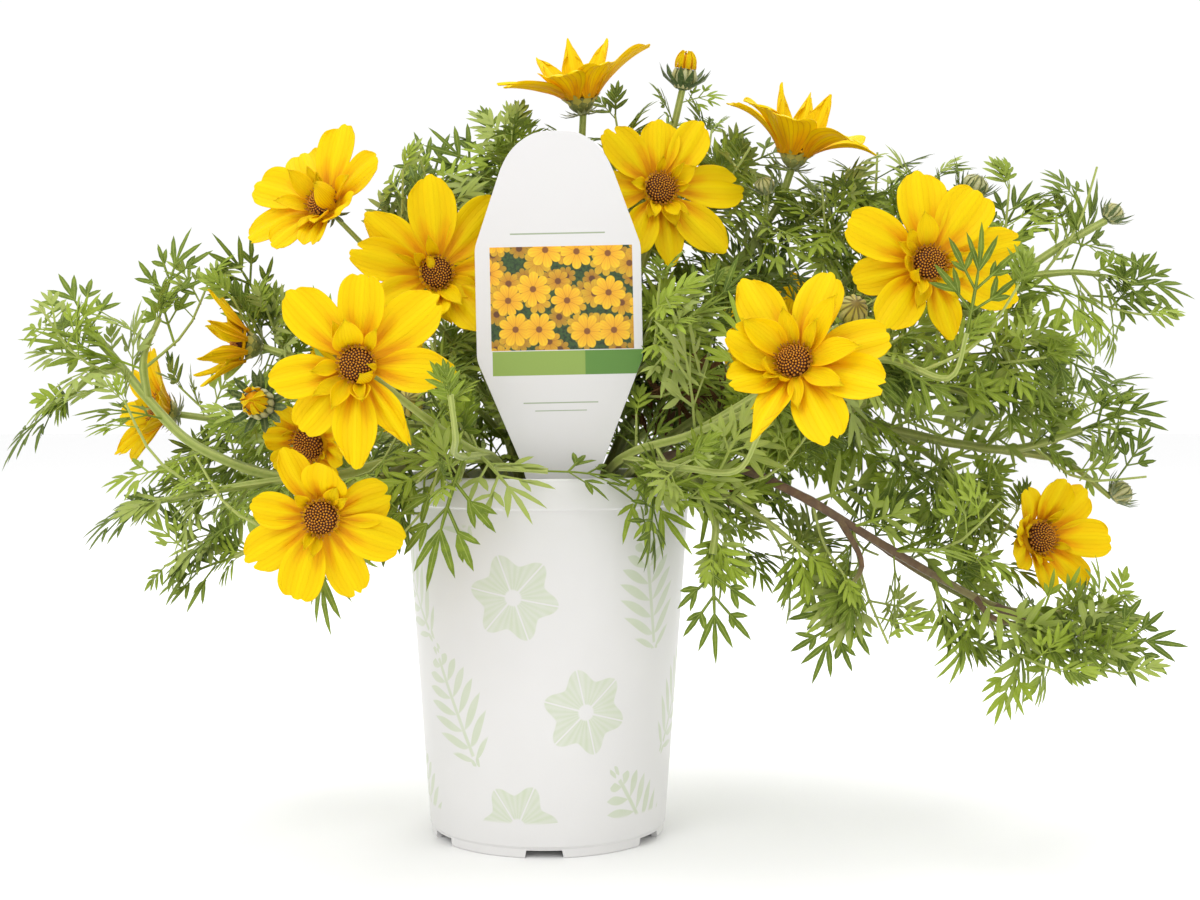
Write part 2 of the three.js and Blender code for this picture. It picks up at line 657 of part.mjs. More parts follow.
// The rays of one flower and the hub that they grow out of. Each side of the hub runs on into one ray: a
// cupped blade that is widest beyond its middle and has two teeth at its tip.
function makeRays(spec, seed) {
  const rays = raysOf(spec, seed);
  const n = rays.length;
  const top = [];
  const under = [];
  const faces = [];
  const walls = [];
  rays.forEach(({ clock, before }) => {
    const r = HUB.radius / Math.cos(before);
    top.push(polar(r, clock - before, HUB.top));
    under.push(polar(r, clock - before, HUB.bottom));
  });
  rays.forEach((rayOf, k) => {
    const after = rays[(k + 1) % n].before;
    const rows = [[RAY.widest, rayOf.half, 1], [1, rayOf.half * RAY.tipWidth, RAY.notch]];
    const p = top.length;
    rows.forEach(([share, wanted, notched]) => {
      const r = Math.hypot(rayPoint(spec, rayOf, share, 0).point.x, rayPoint(spec, rayOf, share, 0).point.y);
      const room = (gap) => Math.min(wanted, RAY.room * r * Math.tan(gap));
      [[share, -room(rayOf.before)], [share * notched, 0], [share, room(after)]].forEach(([at, across]) => {
        const { point, normal } = rayPoint(spec, rayOf, at, across);
        top.push(point.clone().addScaledVector(normal, RAY.thickness / 2));
        under.push(point.clone().addScaledVector(normal, -RAY.thickness / 2));
      });
    });
    const a = k;
    const b = (k + 1) % n;
    faces.push([a, p, p + 1], [a, p + 1, b], [b, p + 1, p + 2]);
    faces.push([p, p + 3, p + 4], [p, p + 4, p + 1], [p + 1, p + 4, p + 2], [p + 4, p + 5, p + 2]);
    walls.push([a, p, p + 3, p + 4, p + 5, p + 2, b]);
    if (k > 0 && k + 1 < n) {
      faces.push([0, k, k + 1]);
    }
  });
  const count = top.length;
  const lower = faces.map(([a, b, c]) => [a + count, c + count, b + count]);
  const sides = walls.flatMap((rim) => rimWalls(rim, count, true));
  const rosette = solidFromFaces([...top, ...under], [...faces, ...lower, ...sides]);
  const inner = [];
  for (let i = 0; i < (spec.inner ?? INNER_RAY.count); i++) {
    const clock = rays[0].clock + (TURN * (i + 0.5 * draw(seed, i, 3))) / INNER_RAY.count;
    inner.push(innerRay(clock, spec.reach * (0.26 + 0.12 * draw(seed, i, 4))));
  }
  return joined([rosette, ...inner]).transform(placeAt(spec).elements);
}

// A small inner ray: a pointed scrap of petal that stands on the hub beside the disc.
function innerRay(clock, length) {
  const tilt = INNER_RAY.lift * DEG;
  const half = 0.2 * length;
  const foot = new THREE.Vector3(INNER_RAY.ring, 0, HUB.top - 0.6);
  const points = [[0, -0.6], [0.65, -1], [1, 0], [0.65, 1], [0, 0.6]].map(([share, side]) => {
    const along = share * length;
    return new THREE.Vector3(along * Math.cos(tilt), side * half, along * Math.sin(tilt)).add(foot);
  });
  const turn = new THREE.Matrix4().makeRotationZ(clock);
  const normals = points.map(() => new THREE.Vector3(-Math.sin(tilt), 0, Math.cos(tilt)).applyMatrix4(turn));
  points.forEach((p) => p.applyMatrix4(turn));
  return blade(points, normals, [[0, 1, 4], [1, 3, 4], [1, 2, 3]], [0, 1, 2, 3, 4], INNER_RAY.thickness);
}

// Rings of points about the z axis as a closed solid, with a point or a flat at each end.
function ringed(rings, bottomZ, topZ) {
  const sides = DISC.sides;
  const points = rings.flatMap(({ radii, z }) =>
    Array.from({ length: sides }, (_, k) => polar(radii[k % 2], (TURN * k) / sides, z)),
  );
  const bottom = points.push(new THREE.Vector3(0, 0, bottomZ)) - 1;
  const top = points.push(new THREE.Vector3(0, 0, topZ)) - 1;
  const last = (rings.length - 1) * sides;
  const faces = [];
  for (let k = 0; k < sides; k++) {
    const next = (k + 1) % sides;
    for (let low = 0; low < last; low += sides) {
      faces.push([low + k, low + next, low + next + sides], [low + k, low + next + sides, low + k + sides]);
    }
    faces.push([next, k, bottom], [last + k, last + next, top]);
  }
  return solidFromFaces(points, faces);
}

// The disc of florets: a dome whose points are raised and sunk by turns.
function makeDisc(spec) {
  const { radius, bump, height } = DISC;
  const base = HUB.top + FIT_GAP;
  const rings = [
    { radii: [radius, radius], z: base },
    { radii: [radius + bump, radius - bump], z: base + 0.45 * height },
    { radii: [0.6 * radius, 0.72 * radius], z: base + 0.88 * height },
  ];
  return ringed(rings, base, base + height).transform(placeAt(spec).elements);
}

// The yellow tuft of rays that shows in an opening bud.
function budTuft(spec) {
  const r = 0.72 * BUD.radius * spec.size;
  const rings = [
    { radii: [r, 0.75 * r], z: FIT_GAP },
    { radii: [1.25 * r, 0.9 * r], z: 2.2 },
    { radii: [0.55 * r, 0.4 * r], z: 4.6 },
  ];
  return ringed(rings, FIT_GAP, 3.6).transform(placeAt(spec).elements);
}

// One leaf as a thin arched blade.
function leaf(frame, length) {
  const points = LEAF_OUTLINE.map(([x, y]) => {
    const drop = LEAF.arch * (x * x + 0.5 * Math.abs(y));
    return new THREE.Vector3(x, y, -drop).multiplyScalar(length);
  });
  const normals = LEAF_OUTLINE.map(([x]) => new THREE.Vector3(2 * LEAF.arch * x, 0, 1).normalize());
  normals[0].set(0, 0, 0);
  const rim = LEAF_OUTLINE.map((_, i) => i);
  return blade(points, normals, LEAF_FACES, rim, LEAF.thickness).transform(frame.elements);
}

// A leaf's frame on a stem: x along the leaf, z out of its upper face, which looks up and outward.
function leafFrame(point, tangent, clock, splay, roll) {
  const side = new THREE.Vector3().crossVectors(tangent, LEAF_CLOCK_REFERENCE).normalize();
  const up = new THREE.Vector3().crossVectors(side, tangent);
  const radial = up.multiplyScalar(Math.cos(clock)).addScaledVector(side, Math.sin(clock));
  const x = tangent.clone().multiplyScalar(Math.cos(splay)).addScaledVector(radial, Math.sin(splay));
  const { up: upShare, out, front, along } = LEAF.faces;
  const z = point.clone().setZ(0).normalize().multiplyScalar(out).addScaledVector(UP, upShare);
  z.addScaledVector(BACK, -front).addScaledVector(tangent, along);
  z.addScaledVector(x, -z.dot(x)).normalize();
  z.applyAxisAngle(x, roll);
  const y = new THREE.Vector3().crossVectors(z, x);
  return new THREE.Matrix4().makeBasis(x, y, z).setPosition(point);
}

// Whether a leaf comes closer to any of the other solids than it may.
function near(tried, others) {
  const { min, max } = tried.boundingBox();
  return others.some((other) => {
    const box = other.boundingBox();
    const apart = min.some((low, i) => low > box.max[i] + LEAF.clear || box.min[i] > max[i] + LEAF.clear);
    return !apart && tried.minGap(other, LEAF.clear) < LEAF.clear;
  });
}

// The curves of a stem and its branches, with what each one bears.
function routes(stem) {
  const [x, y] = stem.root;
  const main = curveTo(vector([x, y, SOIL.top + STEM.straight]), stem.path, stem.ends);
  const list = [{ curve: main, radius: stem.radius, leafy: stem.leafy, ends: stem.ends }];
  stem.branches.forEach((branch) => {
    const curve = curveTo(main.getPointAt(branch.share), branch.path, branch.ends);
    list.push({ curve, radius: STEM.branchShare * stem.radius, leafy: STEM.leafyBranch, ends: branch.ends });
  });
  return list;
}

// How far behind its own middle the stalk of a flower or bud ends.
function headDepth(ends) {
  return BLOOMS[ends] ? CALYX.depth + FIT_GAP - HUB.bottom : BUD.depth * BUDS[ends].size;
}

// A smooth curve through the given points, ending at the back of its flower or bud if it has one.
function curveTo(start, path, ends) {
  const points = [start, ...path.map(vector)];
  const head = BLOOMS[ends] || BUDS[ends];
  if (head) {
    points.push(vector(head.at).addScaledVector(vector(head.faces).normalize(), -headDepth(ends)));
  }
  return new THREE.CatmullRomCurve3(points);
}

// The stations of the green cup under a flower, or of a bud, at the end of its stalk. The first has bracts.
function headStations(ends) {
  const head = BLOOMS[ends] || BUDS[ends];
  const tangent = vector(head.faces).normalize();
  const back = -headDepth(ends);
  let rows;
  if (BLOOMS[ends]) {
    const spike = head.showsBack && { reach: CALYX.bractReach, lift: 1 };
    rows = [
      { radius: CALYX.neck, z: back, spike },
      { radius: CALYX.neck + 0.6, z: back + 0.9 },
      { radius: CALYX.radius, z: 0.55 * back },
      { radius: CALYX.radius + 0.2, z: HUB.bottom - FIT_GAP },
    ];
  } else {
    const r = BUD.radius * head.size;
    rows = [
      { radius: 0.35 * r, z: back, spike: { reach: BUD.bractReach * head.size, lift: 3 } },
      { radius: 0.5 * r, z: 0.9 * back },
      { radius: r, z: 0.5 * back },
      { radius: head.open ? 0.75 * r : 0.35 * r, z: 0 },
    ];
  }
  return rows.map(({ radius, z, spike }) => {
    const point = vector(head.at).addScaledVector(tangent, z);
    return { point, tangent, radius, spike };
  });
}

// The stations of a stalk along its curve, and of the head that ends it. A main stem stands upright in soil.
function stalkStations(route, isMain) {
  const steps = Math.max(2, Math.round(route.curve.getLength() / STEM.stepLength));
  const stations = Array.from({ length: steps + 1 }, (_, k) => ({
    point: route.curve.getPointAt(k / steps),
    tangent: route.curve.getTangentAt(k / steps),
    radius: route.radius * (1 + ((STEM.endShare - 1) * k) / steps),
  }));
  if (isMain) {
    const [surface] = stations;
    surface.tangent = UP;
    const foot = surface.point.clone().setZ(SOIL.top - SOIL.holeDepth);
    stations.unshift({ ...surface, point: foot });
  }
  return route.ends ? [...stations.slice(0, -1), ...headStations(route.ends)] : stations;
}

function stalkSides(route, isMain) {
  if (route.ends) {
    return STEM.headSides;
  }
  return isMain ? STEM.sides : STEM.branchSides;
}

// The square hole that a stem needs in the soil, a little wider than the stem.
function soilHole({ root, radius }) {
  const depth = SOIL.holeDepth + FIT_GAP;
  const across = (radius + STEM.holeGap) / Math.cos(Math.PI / 4);
  const hole = new THREE.CylinderGeometry(across, across, 2 * depth, 4).rotateX(Math.PI / 2);
  return solidOf(hole.translate(...root, SOIL.top));
}

// The leaves of a stem. Each is turned until it is clear of every other piece, and left out if it can't be.
function leavesOn({ name, list, bare, seed }) {
  const leaves = [];
  const others = placed.filter((piece) => piece.name !== name).map((piece) => piece.solid);
  others.push(labelView);
  list.forEach((route, r) => {
    const length = route.curve.getLength();
    const [from, to] = route.leafy;
    const count = Math.max(1, Math.round(((to - from) * length) / LEAF.spacing) + (route.ends ? 0 : 1));
    for (let k = 0; k < count; k++) {
      const isTip = k === count - 1 && !route.ends;
      const share = isTip ? 0.995 : from + ((to - from) * k) / Math.max(1, count - (route.ends ? 0 : 1));
      const size = LEAF.length * (isTip ? 0.9 : 0.85 + 0.35 * draw(seed, r, k));
      const clock = (137 * k + 360 * draw(seed, r, 40)) * DEG;
      const splay = (isTip ? 8 : 50 + 20 * draw(seed, r, k + 80)) * DEG;
      const roll = draw(seed, r, k + 120) - 0.5;
      const point = route.curve.getPointAt(share);
      const tangent = route.curve.getTangentAt(share);
      const clear = LEAF.turns.map((turn) => {
        const turned = isTip ? clock : clock + turn * DEG;
        const bent = isTip ? splay + 0.3 * turn * DEG : splay;
        return leaf(leafFrame(point, tangent, turned, bent, roll + turn / 150), size);
      }).find((tried) => !near(tried, [...others, ...leaves]) && !crosses(tried, bare));
      if (clear) {
        leaves.push(clear);
      }
    }
  });
  return leaves;
}

// Whether a leaf runs through its own stem anywhere but at the foot of its stalk.
function crosses(tried, bare) {
  return tried.intersect(bare).decompose().length > 1;
}

function place(name, solid, look) {
  placed.push({ name, solid, look });
}

place("pot", makePot(), "pot");
place("label", makeLabel(0), "label");
Object.entries(BLOOMS).forEach(([name, spec], seed) => {
  place(`rays_${name}`, makeRays(spec, seed + 1), "rays");
  place(`disc_${name}`, makeDisc(spec), "disc");
});
Object.entries(BUDS).filter(([, spec]) => spec.open).forEach(([name, spec]) => {
  place(`bud_rays_${name}`, budTuft(spec), "rays");
});

const labelView = makeLabelView();
let soil = makeSoil().subtract(makeLabel(FIT_GAP));
const stems = Object.entries(STEMS).map(([name, stem], index) => {
  const list = routes(stem);
  const stations = list.map((route, i) => stalkStations(route, i === 0));
  soil = soil.subtract(soilHole(stem));
  const bare = joined(stations.map((own, i) => tube(own, stalkSides(list[i], i === 0))));
  place(`stem_${name}`, bare, "foliage");
  return { name: `stem_${name}`, list, bare, seed: index + 1 };
});
place("soil", soil, "soil");
stems.forEach((stem) => {
  placed.find((piece) => piece.name === stem.name).solid = joined([stem.bare, ...leavesOn(stem)]);
});
placed.forEach(addPiece);

export default part;
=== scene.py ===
"""Potted bidens: a white nursery pot with a trailing, yellow-flowered plant and a plant label.

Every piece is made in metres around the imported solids. +Z is up and the label faces -Y.
"""

import logging
import math
from collections.abc import Iterator, Sequence
from dataclasses import dataclass, field
from enum import Enum
from itertools import chain, product

import bmesh
import bpy
import numpy as np
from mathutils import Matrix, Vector
from mathutils.bvhtree import BVHTree
from mathutils.kdtree import KDTree


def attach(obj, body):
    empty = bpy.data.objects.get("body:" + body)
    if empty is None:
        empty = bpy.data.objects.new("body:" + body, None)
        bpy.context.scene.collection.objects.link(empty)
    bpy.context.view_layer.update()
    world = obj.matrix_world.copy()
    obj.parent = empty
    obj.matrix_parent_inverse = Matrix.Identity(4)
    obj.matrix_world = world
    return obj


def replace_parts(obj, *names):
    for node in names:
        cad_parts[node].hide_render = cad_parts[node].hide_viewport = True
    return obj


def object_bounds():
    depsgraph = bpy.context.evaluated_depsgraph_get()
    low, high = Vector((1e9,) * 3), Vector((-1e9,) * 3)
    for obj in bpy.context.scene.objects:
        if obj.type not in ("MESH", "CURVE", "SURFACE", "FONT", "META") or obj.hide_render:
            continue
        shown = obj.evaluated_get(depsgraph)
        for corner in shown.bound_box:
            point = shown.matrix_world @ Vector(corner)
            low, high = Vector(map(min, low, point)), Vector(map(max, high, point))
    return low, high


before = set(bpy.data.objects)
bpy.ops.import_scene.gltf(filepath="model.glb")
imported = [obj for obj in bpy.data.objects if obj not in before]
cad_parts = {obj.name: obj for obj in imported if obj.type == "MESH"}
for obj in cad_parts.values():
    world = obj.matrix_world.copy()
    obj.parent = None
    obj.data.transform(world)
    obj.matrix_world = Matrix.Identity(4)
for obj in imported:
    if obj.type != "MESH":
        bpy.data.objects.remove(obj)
CAD_LOW, CAD_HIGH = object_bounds()

LOG = logging.getLogger("potted_bidens")
MM = 0.001
TURN = 2 * math.pi
GOLDEN = math.pi * (3 - math.sqrt(5))  # the turn from one floret of a disc to the next
UP = np.array([0.0, 0.0, 1.0])
BACK = np.array([0.0, 1.0, 0.0])
BODY = "root"

Triple = tuple[float, float, float]
Pair = tuple[float, float]
Array = np.ndarray
Sheet = tuple[Array, list[Array]]
Material = bpy.types.Material
Piece = bpy.types.Object
Socket = bpy.types.NodeSocket


class Slot(Enum):
    """The record's material slots."""

    POT = "pot"
    LABEL = "label"
    SOIL = "soil"
    FOLIAGE = "foliage"
    RAYS = "rays"
    DISC = "disc"


def draw(a: float, b: float, c: float) -> float:
    """A repeatable draw from 0 to 1 for three numbers, as the solids' source makes it."""
    s = math.sin(a * 12.9898 + b * 78.233 + c * 37.719) * 43758.5453
    return s - math.floor(s)


def spread(a: float, b: float, c: float, most: float) -> float:
    """A repeatable draw from -most to most."""
    return (2 * draw(a, b, c) - 1) * most


def unit(v: Array) -> Array:
    """The vectors of the last axis at length 1."""
    return v / np.maximum(np.linalg.norm(v, axis=-1, keepdims=True), 1e-12)


def eased(at: Array, knots: Sequence[Pair]) -> Array:
    """A smooth curve through knots.

    Args:
        at: The places to read it at.
        knots: Its points, as (place, height), in order of place.

    Returns:
        The height at each place.
    """
    xs, ys = np.array(knots, float).T
    slopes = np.gradient(ys, xs)
    i = np.clip(np.searchsorted(xs, at, side="right") - 1, 0, len(xs) - 2)
    step = xs[i + 1] - xs[i]
    t = (np.clip(at, xs[0], xs[-1]) - xs[i]) / step
    near = (1 + 2 * t) * (1 - t) ** 2 * ys[i] + t * (1 - t) ** 2 * step * slopes[i]
    return near + t * t * (3 - 2 * t) * ys[i + 1] + t * t * (t - 1) * step * slopes[i + 1]


def turned(points: Array, angle: float) -> Array:
    """Points turned about the z axis."""
    c, s = math.cos(angle), math.sin(angle)
    return points @ np.array([[c, s, 0], [-s, c, 0], [0, 0, 1.0]])


def about(v: Array, axis: Array, angle: float) -> Array:
    """A vector turned about a unit axis."""
    c, s = math.cos(angle), math.sin(angle)
    return v * c + np.cross(axis, v) * s + axis * (axis @ v) * (1 - c)


def basis_facing(faces: Triple) -> Array:
    """The axes of a flower or bud, as rows: x to its right, y up it and z the way it faces.

    Args:
        faces: The way it faces.

    Returns:
        The three axes.
    """
    z = unit(np.array(faces, float))
    x = unit(np.cross(BACK if abs(z[2]) > 0.8 else UP, z))
    return np.stack([x, np.cross(z, x), z])


@dataclass
class Patchwork:
    """The points and faces of one piece while it is being put together."""

    points: list[Array] = field(default_factory=list)
    tones: list[Array] = field(default_factory=list)
    faces: list[tuple[Array, int]] = field(default_factory=list)
    count: int = 0

    def add(self, points: Array, faces: Sequence[Array], tones: Array, finish: int = 0) -> None:
        """Adds some closed sheet work.

        Args:
            points: Its points, n by 3.
            faces: Its triangles and quads, as arrays of corner numbers.
            tones: What its finish reads at each point, n by 4 or one row of 4 for all.
            finish: The number of its material on the piece.
        """
        self.points.append(points)
        self.tones.append(np.broadcast_to(tones, (len(points), 4)))
        self.faces += [(np.asarray(rows) + self.count, finish) for rows in faces if len(rows)]
        self.count += len(points)

    def cut_back(self, points: int, faces: int) -> None:
        """Drops what was added after the first so many groups of points and of faces."""
        del self.points[points:], self.tones[points:], self.faces[faces:]
        self.count = sum(map(len, self.points))

    def piece(self, name: str, slot: Slot, finishes: Sequence[Material], crease: float) -> Piece:
        """Makes the piece.

        Args:
            name: The piece's name.
            slot: The record's slot for its finish; not used.
            finishes: Its materials.
            crease: The angle in degrees past which an edge is sharp.

        Returns:
            The object, riding on the part's one body.
        """
        corners = np.concatenate([rows.ravel() for rows, _ in self.faces])
        sizes = np.concatenate([np.full(len(rows), rows.shape[1]) for rows, _ in self.faces])
        finish = np.concatenate([np.full(len(rows), number) for rows, number in self.faces])
        points = np.concatenate(self.points)
        mesh = bpy.data.meshes.new(name)
        mesh.vertices.add(len(points))
        mesh.vertices.foreach_set("co", points.astype(np.float32).ravel())
        mesh.loops.add(len(corners))
        mesh.loops.foreach_set("vertex_index", corners.astype(np.int32))
        mesh.polygons.add(len(sizes))
        mesh.polygons.foreach_set("loop_start", (np.cumsum(sizes) - sizes).astype(np.int32))
        mesh.polygons.foreach_set("material_index", finish.astype(np.int32))
        mesh.polygons.foreach_set("use_smooth", np.ones(len(sizes), bool))
        tone = mesh.attributes.new("tone", "FLOAT_COLOR", "POINT")
        tone.data.foreach_set("color", np.concatenate(self.tones).astype(np.float32).ravel())
        mesh.update(calc_edges=True)
        for material in finishes:
            mesh.materials.append(material)
        mesh.set_sharp_from_angle(angle=math.radians(crease))
        piece = bpy.data.objects.new(name, mesh)
        bpy.context.scene.collection.objects.link(piece)
        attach(piece, BODY)
        return piece


def slab(grid: Array, thickness: float) -> Sheet:
    """A grid of points as a thin closed sheet.

    Args:
        grid: The points, rows by columns by 3.
        thickness: How thick the sheet is.

    Returns:
        The points, the upper face's first, and the quads.
    """
    normals = unit(np.cross(np.gradient(grid, axis=0), np.gradient(grid, axis=1)))
    rows, columns = grid.shape[:2]
    index = np.arange(rows * columns).reshape(rows, columns)
    quads = np.stack([index[:-1, :-1], index[1:, :-1], index[1:, 1:], index[:-1, 1:]], -1).reshape(-1, 4)
    rim = np.concatenate([index[:-1, 0], index[-1, :-1], index[1:, -1][::-1], index[0, 1:][::-1]])
    after = np.roll(rim, -1)
    below = rows * columns
    walls = np.stack([rim, rim + below, after + below, after], axis=-1)
    half = normals * thickness / 2
    points = np.concatenate([(grid + half).reshape(-1, 3), (grid - half).reshape(-1, 3)])
    return points, [quads, quads[:, ::-1] + below, walls]


def strip(
    path: Array, halves: Sequence[float], thick: float, fold: float = 0.0, side: Array | None = None
) -> Sheet:
    """A thin four-sided blade along a path, pointed at its end.

    Args:
        path: The points of its middle line.
        halves: Half its width at each point but the last.
        thick: How thick it is at its rib.
        fold: How far its edges are raised, as a share of half the width.
        side: The direction across it, where its upper face isn't to look up.

    Returns:
        The points, in rings of left edge, upper rib, right edge and lower rib, then the tip, and the faces.
    """
    along = unit(np.gradient(path, axis=0))[:-1]
    side = unit(np.cross(UP, along)) if side is None else side
    normal = np.cross(along, side)
    half = np.array(halves)[:, None]
    middle = path[:-1]
    edge = normal * half * fold
    rings = [middle + side * half + edge, middle + normal * thick / 2, middle - side * half + edge]
    rings.append(middle - normal * thick / 2)
    points = np.concatenate([np.stack(rings, axis=1).reshape(-1, 3), path[-1:]])
    last = len(middle) - 1
    start = np.arange(last)[:, None] * 4
    here = np.arange(4)[None, :]
    there = (here + 1) % 4
    quads = np.stack([start + here, start + there, start + there + 4, start + here + 4], -1).reshape(-1, 4)
    end = 4 * last
    tips = [[end + k, end + (k + 1) % 4, end + 4] for k in range(4)]
    return points, [quads, np.array(tips), np.array([[3, 2, 1, 0]])]


def transported(path: Array) -> tuple[Array, Array]:
    """Two directions across a path at each of its points, carried along it without twisting.

    Args:
        path: The points of the path.

    Returns:
        Both directions at each point.
    """
    along = unit(np.gradient(path, axis=0))
    across = np.empty_like(path)
    held = unit(np.cross(along[0], BACK if abs(along[0][2]) > 0.9 else UP))
    for i, tangent in enumerate(along):
        held = unit(held - tangent * (held @ tangent))
        across[i] = held
    return across, np.cross(along, across)


def tube(path: Array, radii: Array, sides: int, ridge: float = 0.0) -> Sheet:
    """A round or ridged rod along a path.

    Args:
        path: The points of its middle line.
        radii: Its radius at each point.
        sides: How many corners it has around.
        ridge: How far every other corner stands out, as a share of the radius.

    Returns:
        The points, in rings and then the two end points, and the faces.
    """
    across, other = transported(path)
    angles = np.arange(sides) * TURN / sides
    swell = 1 + ridge * np.where(np.arange(sides) % 2, -1, 1)
    x, y = np.cos(angles) * swell, np.sin(angles) * swell
    offsets = across[:, None] * x[None, :, None] + other[:, None] * y[None, :, None]
    rings = path[:, None] + offsets * np.asarray(radii)[:, None, None]
    points = np.concatenate([rings.reshape(-1, 3), path[:1], path[-1:]])
    return points, ring_faces(len(path), sides)


def ring_faces(rings: int, sides: int) -> list[Array]:
    """The faces over rings of points, with a fan to the point after them at each end.

    Args:
        rings: How many rings.
        sides: How many points in each.

    Returns:
        The quads between the rings and the triangles at both ends.
    """
    start = np.arange(rings - 1)[:, None] * sides
    here = np.arange(sides)[None, :]
    there = (here + 1) % sides
    quads = np.stack([start + here, start + there, start + there + sides, start + here + sides], axis=-1)
    first, end = rings * sides, (rings - 1) * sides
    around, after = here[0], there[0]
    low = np.stack([after, around, np.full(sides, first)], axis=-1)
    high = np.stack([end + around, end + after, np.full(sides, first + 1)], axis=-1)
    return [quads.reshape(-1, 4), low, high]


def revolved(profile: Sequence[Pair], sides: int) -> Sheet:
    """A turned body. The profile runs up the outside, from and to the axis, as (radius, height).

    Args:
        profile: Its section.
        sides: How many corners it has around.

    Returns:
        The points and the faces.
    """
    inner = np.array(profile[1:-1], float)
    angles = np.arange(sides) * TURN / sides
    rings = np.empty((len(inner), sides, 3))
    rings[..., 0] = inner[:, :1] * np.cos(angles)
    rings[..., 1] = inner[:, :1] * np.sin(angles)
    rings[..., 2] = inner[:, 1:]
    ends = [[0, 0, profile[0][1]], [0, 0, profile[-1][1]]]
    return np.concatenate([rings.reshape(-1, 3), ends]), ring_faces(len(inner), sides)


@dataclass
class Term:
    """One number in a material, made by its nodes: the bench and the socket that gives it."""

    bench: "Bench"
    socket: Socket

    def __add__(self, other: "Term | float") -> "Term":
        """The sum."""
        return self.bench.math("ADD", self, other)

    def __sub__(self, other: "Term | float") -> "Term":
        """The difference."""
        return self.bench.math("SUBTRACT", self, other)

    def __mul__(self, other: "Term | float") -> "Term":
        """The product."""
        return self.bench.math("MULTIPLY", self, other)

    def __truediv__(self, other: "Term | float") -> "Term":
        """The quotient."""
        return self.bench.math("DIVIDE", self, other)

    def size(self) -> "Term":
        """The number without its sign."""
        return self.done("ABSOLUTE")

    def under(self, most: float, soft: float) -> "Term":
        """1 where the number is well under most, falling to 0 over the soft width."""
        return self.bench.math("MULTIPLY", self.bench.math("SUBTRACT", most, self), 1 / soft, clamp=True)

    def held(self) -> "Term":
        """The number, held between 0 and 1."""
        return self.bench.math("MULTIPLY", self, 1.0, clamp=True)

    def done(self, operation: str, *others: "Term | float") -> "Term":
        """Another math operation on the number."""
        return self.bench.math(operation, self, *others)


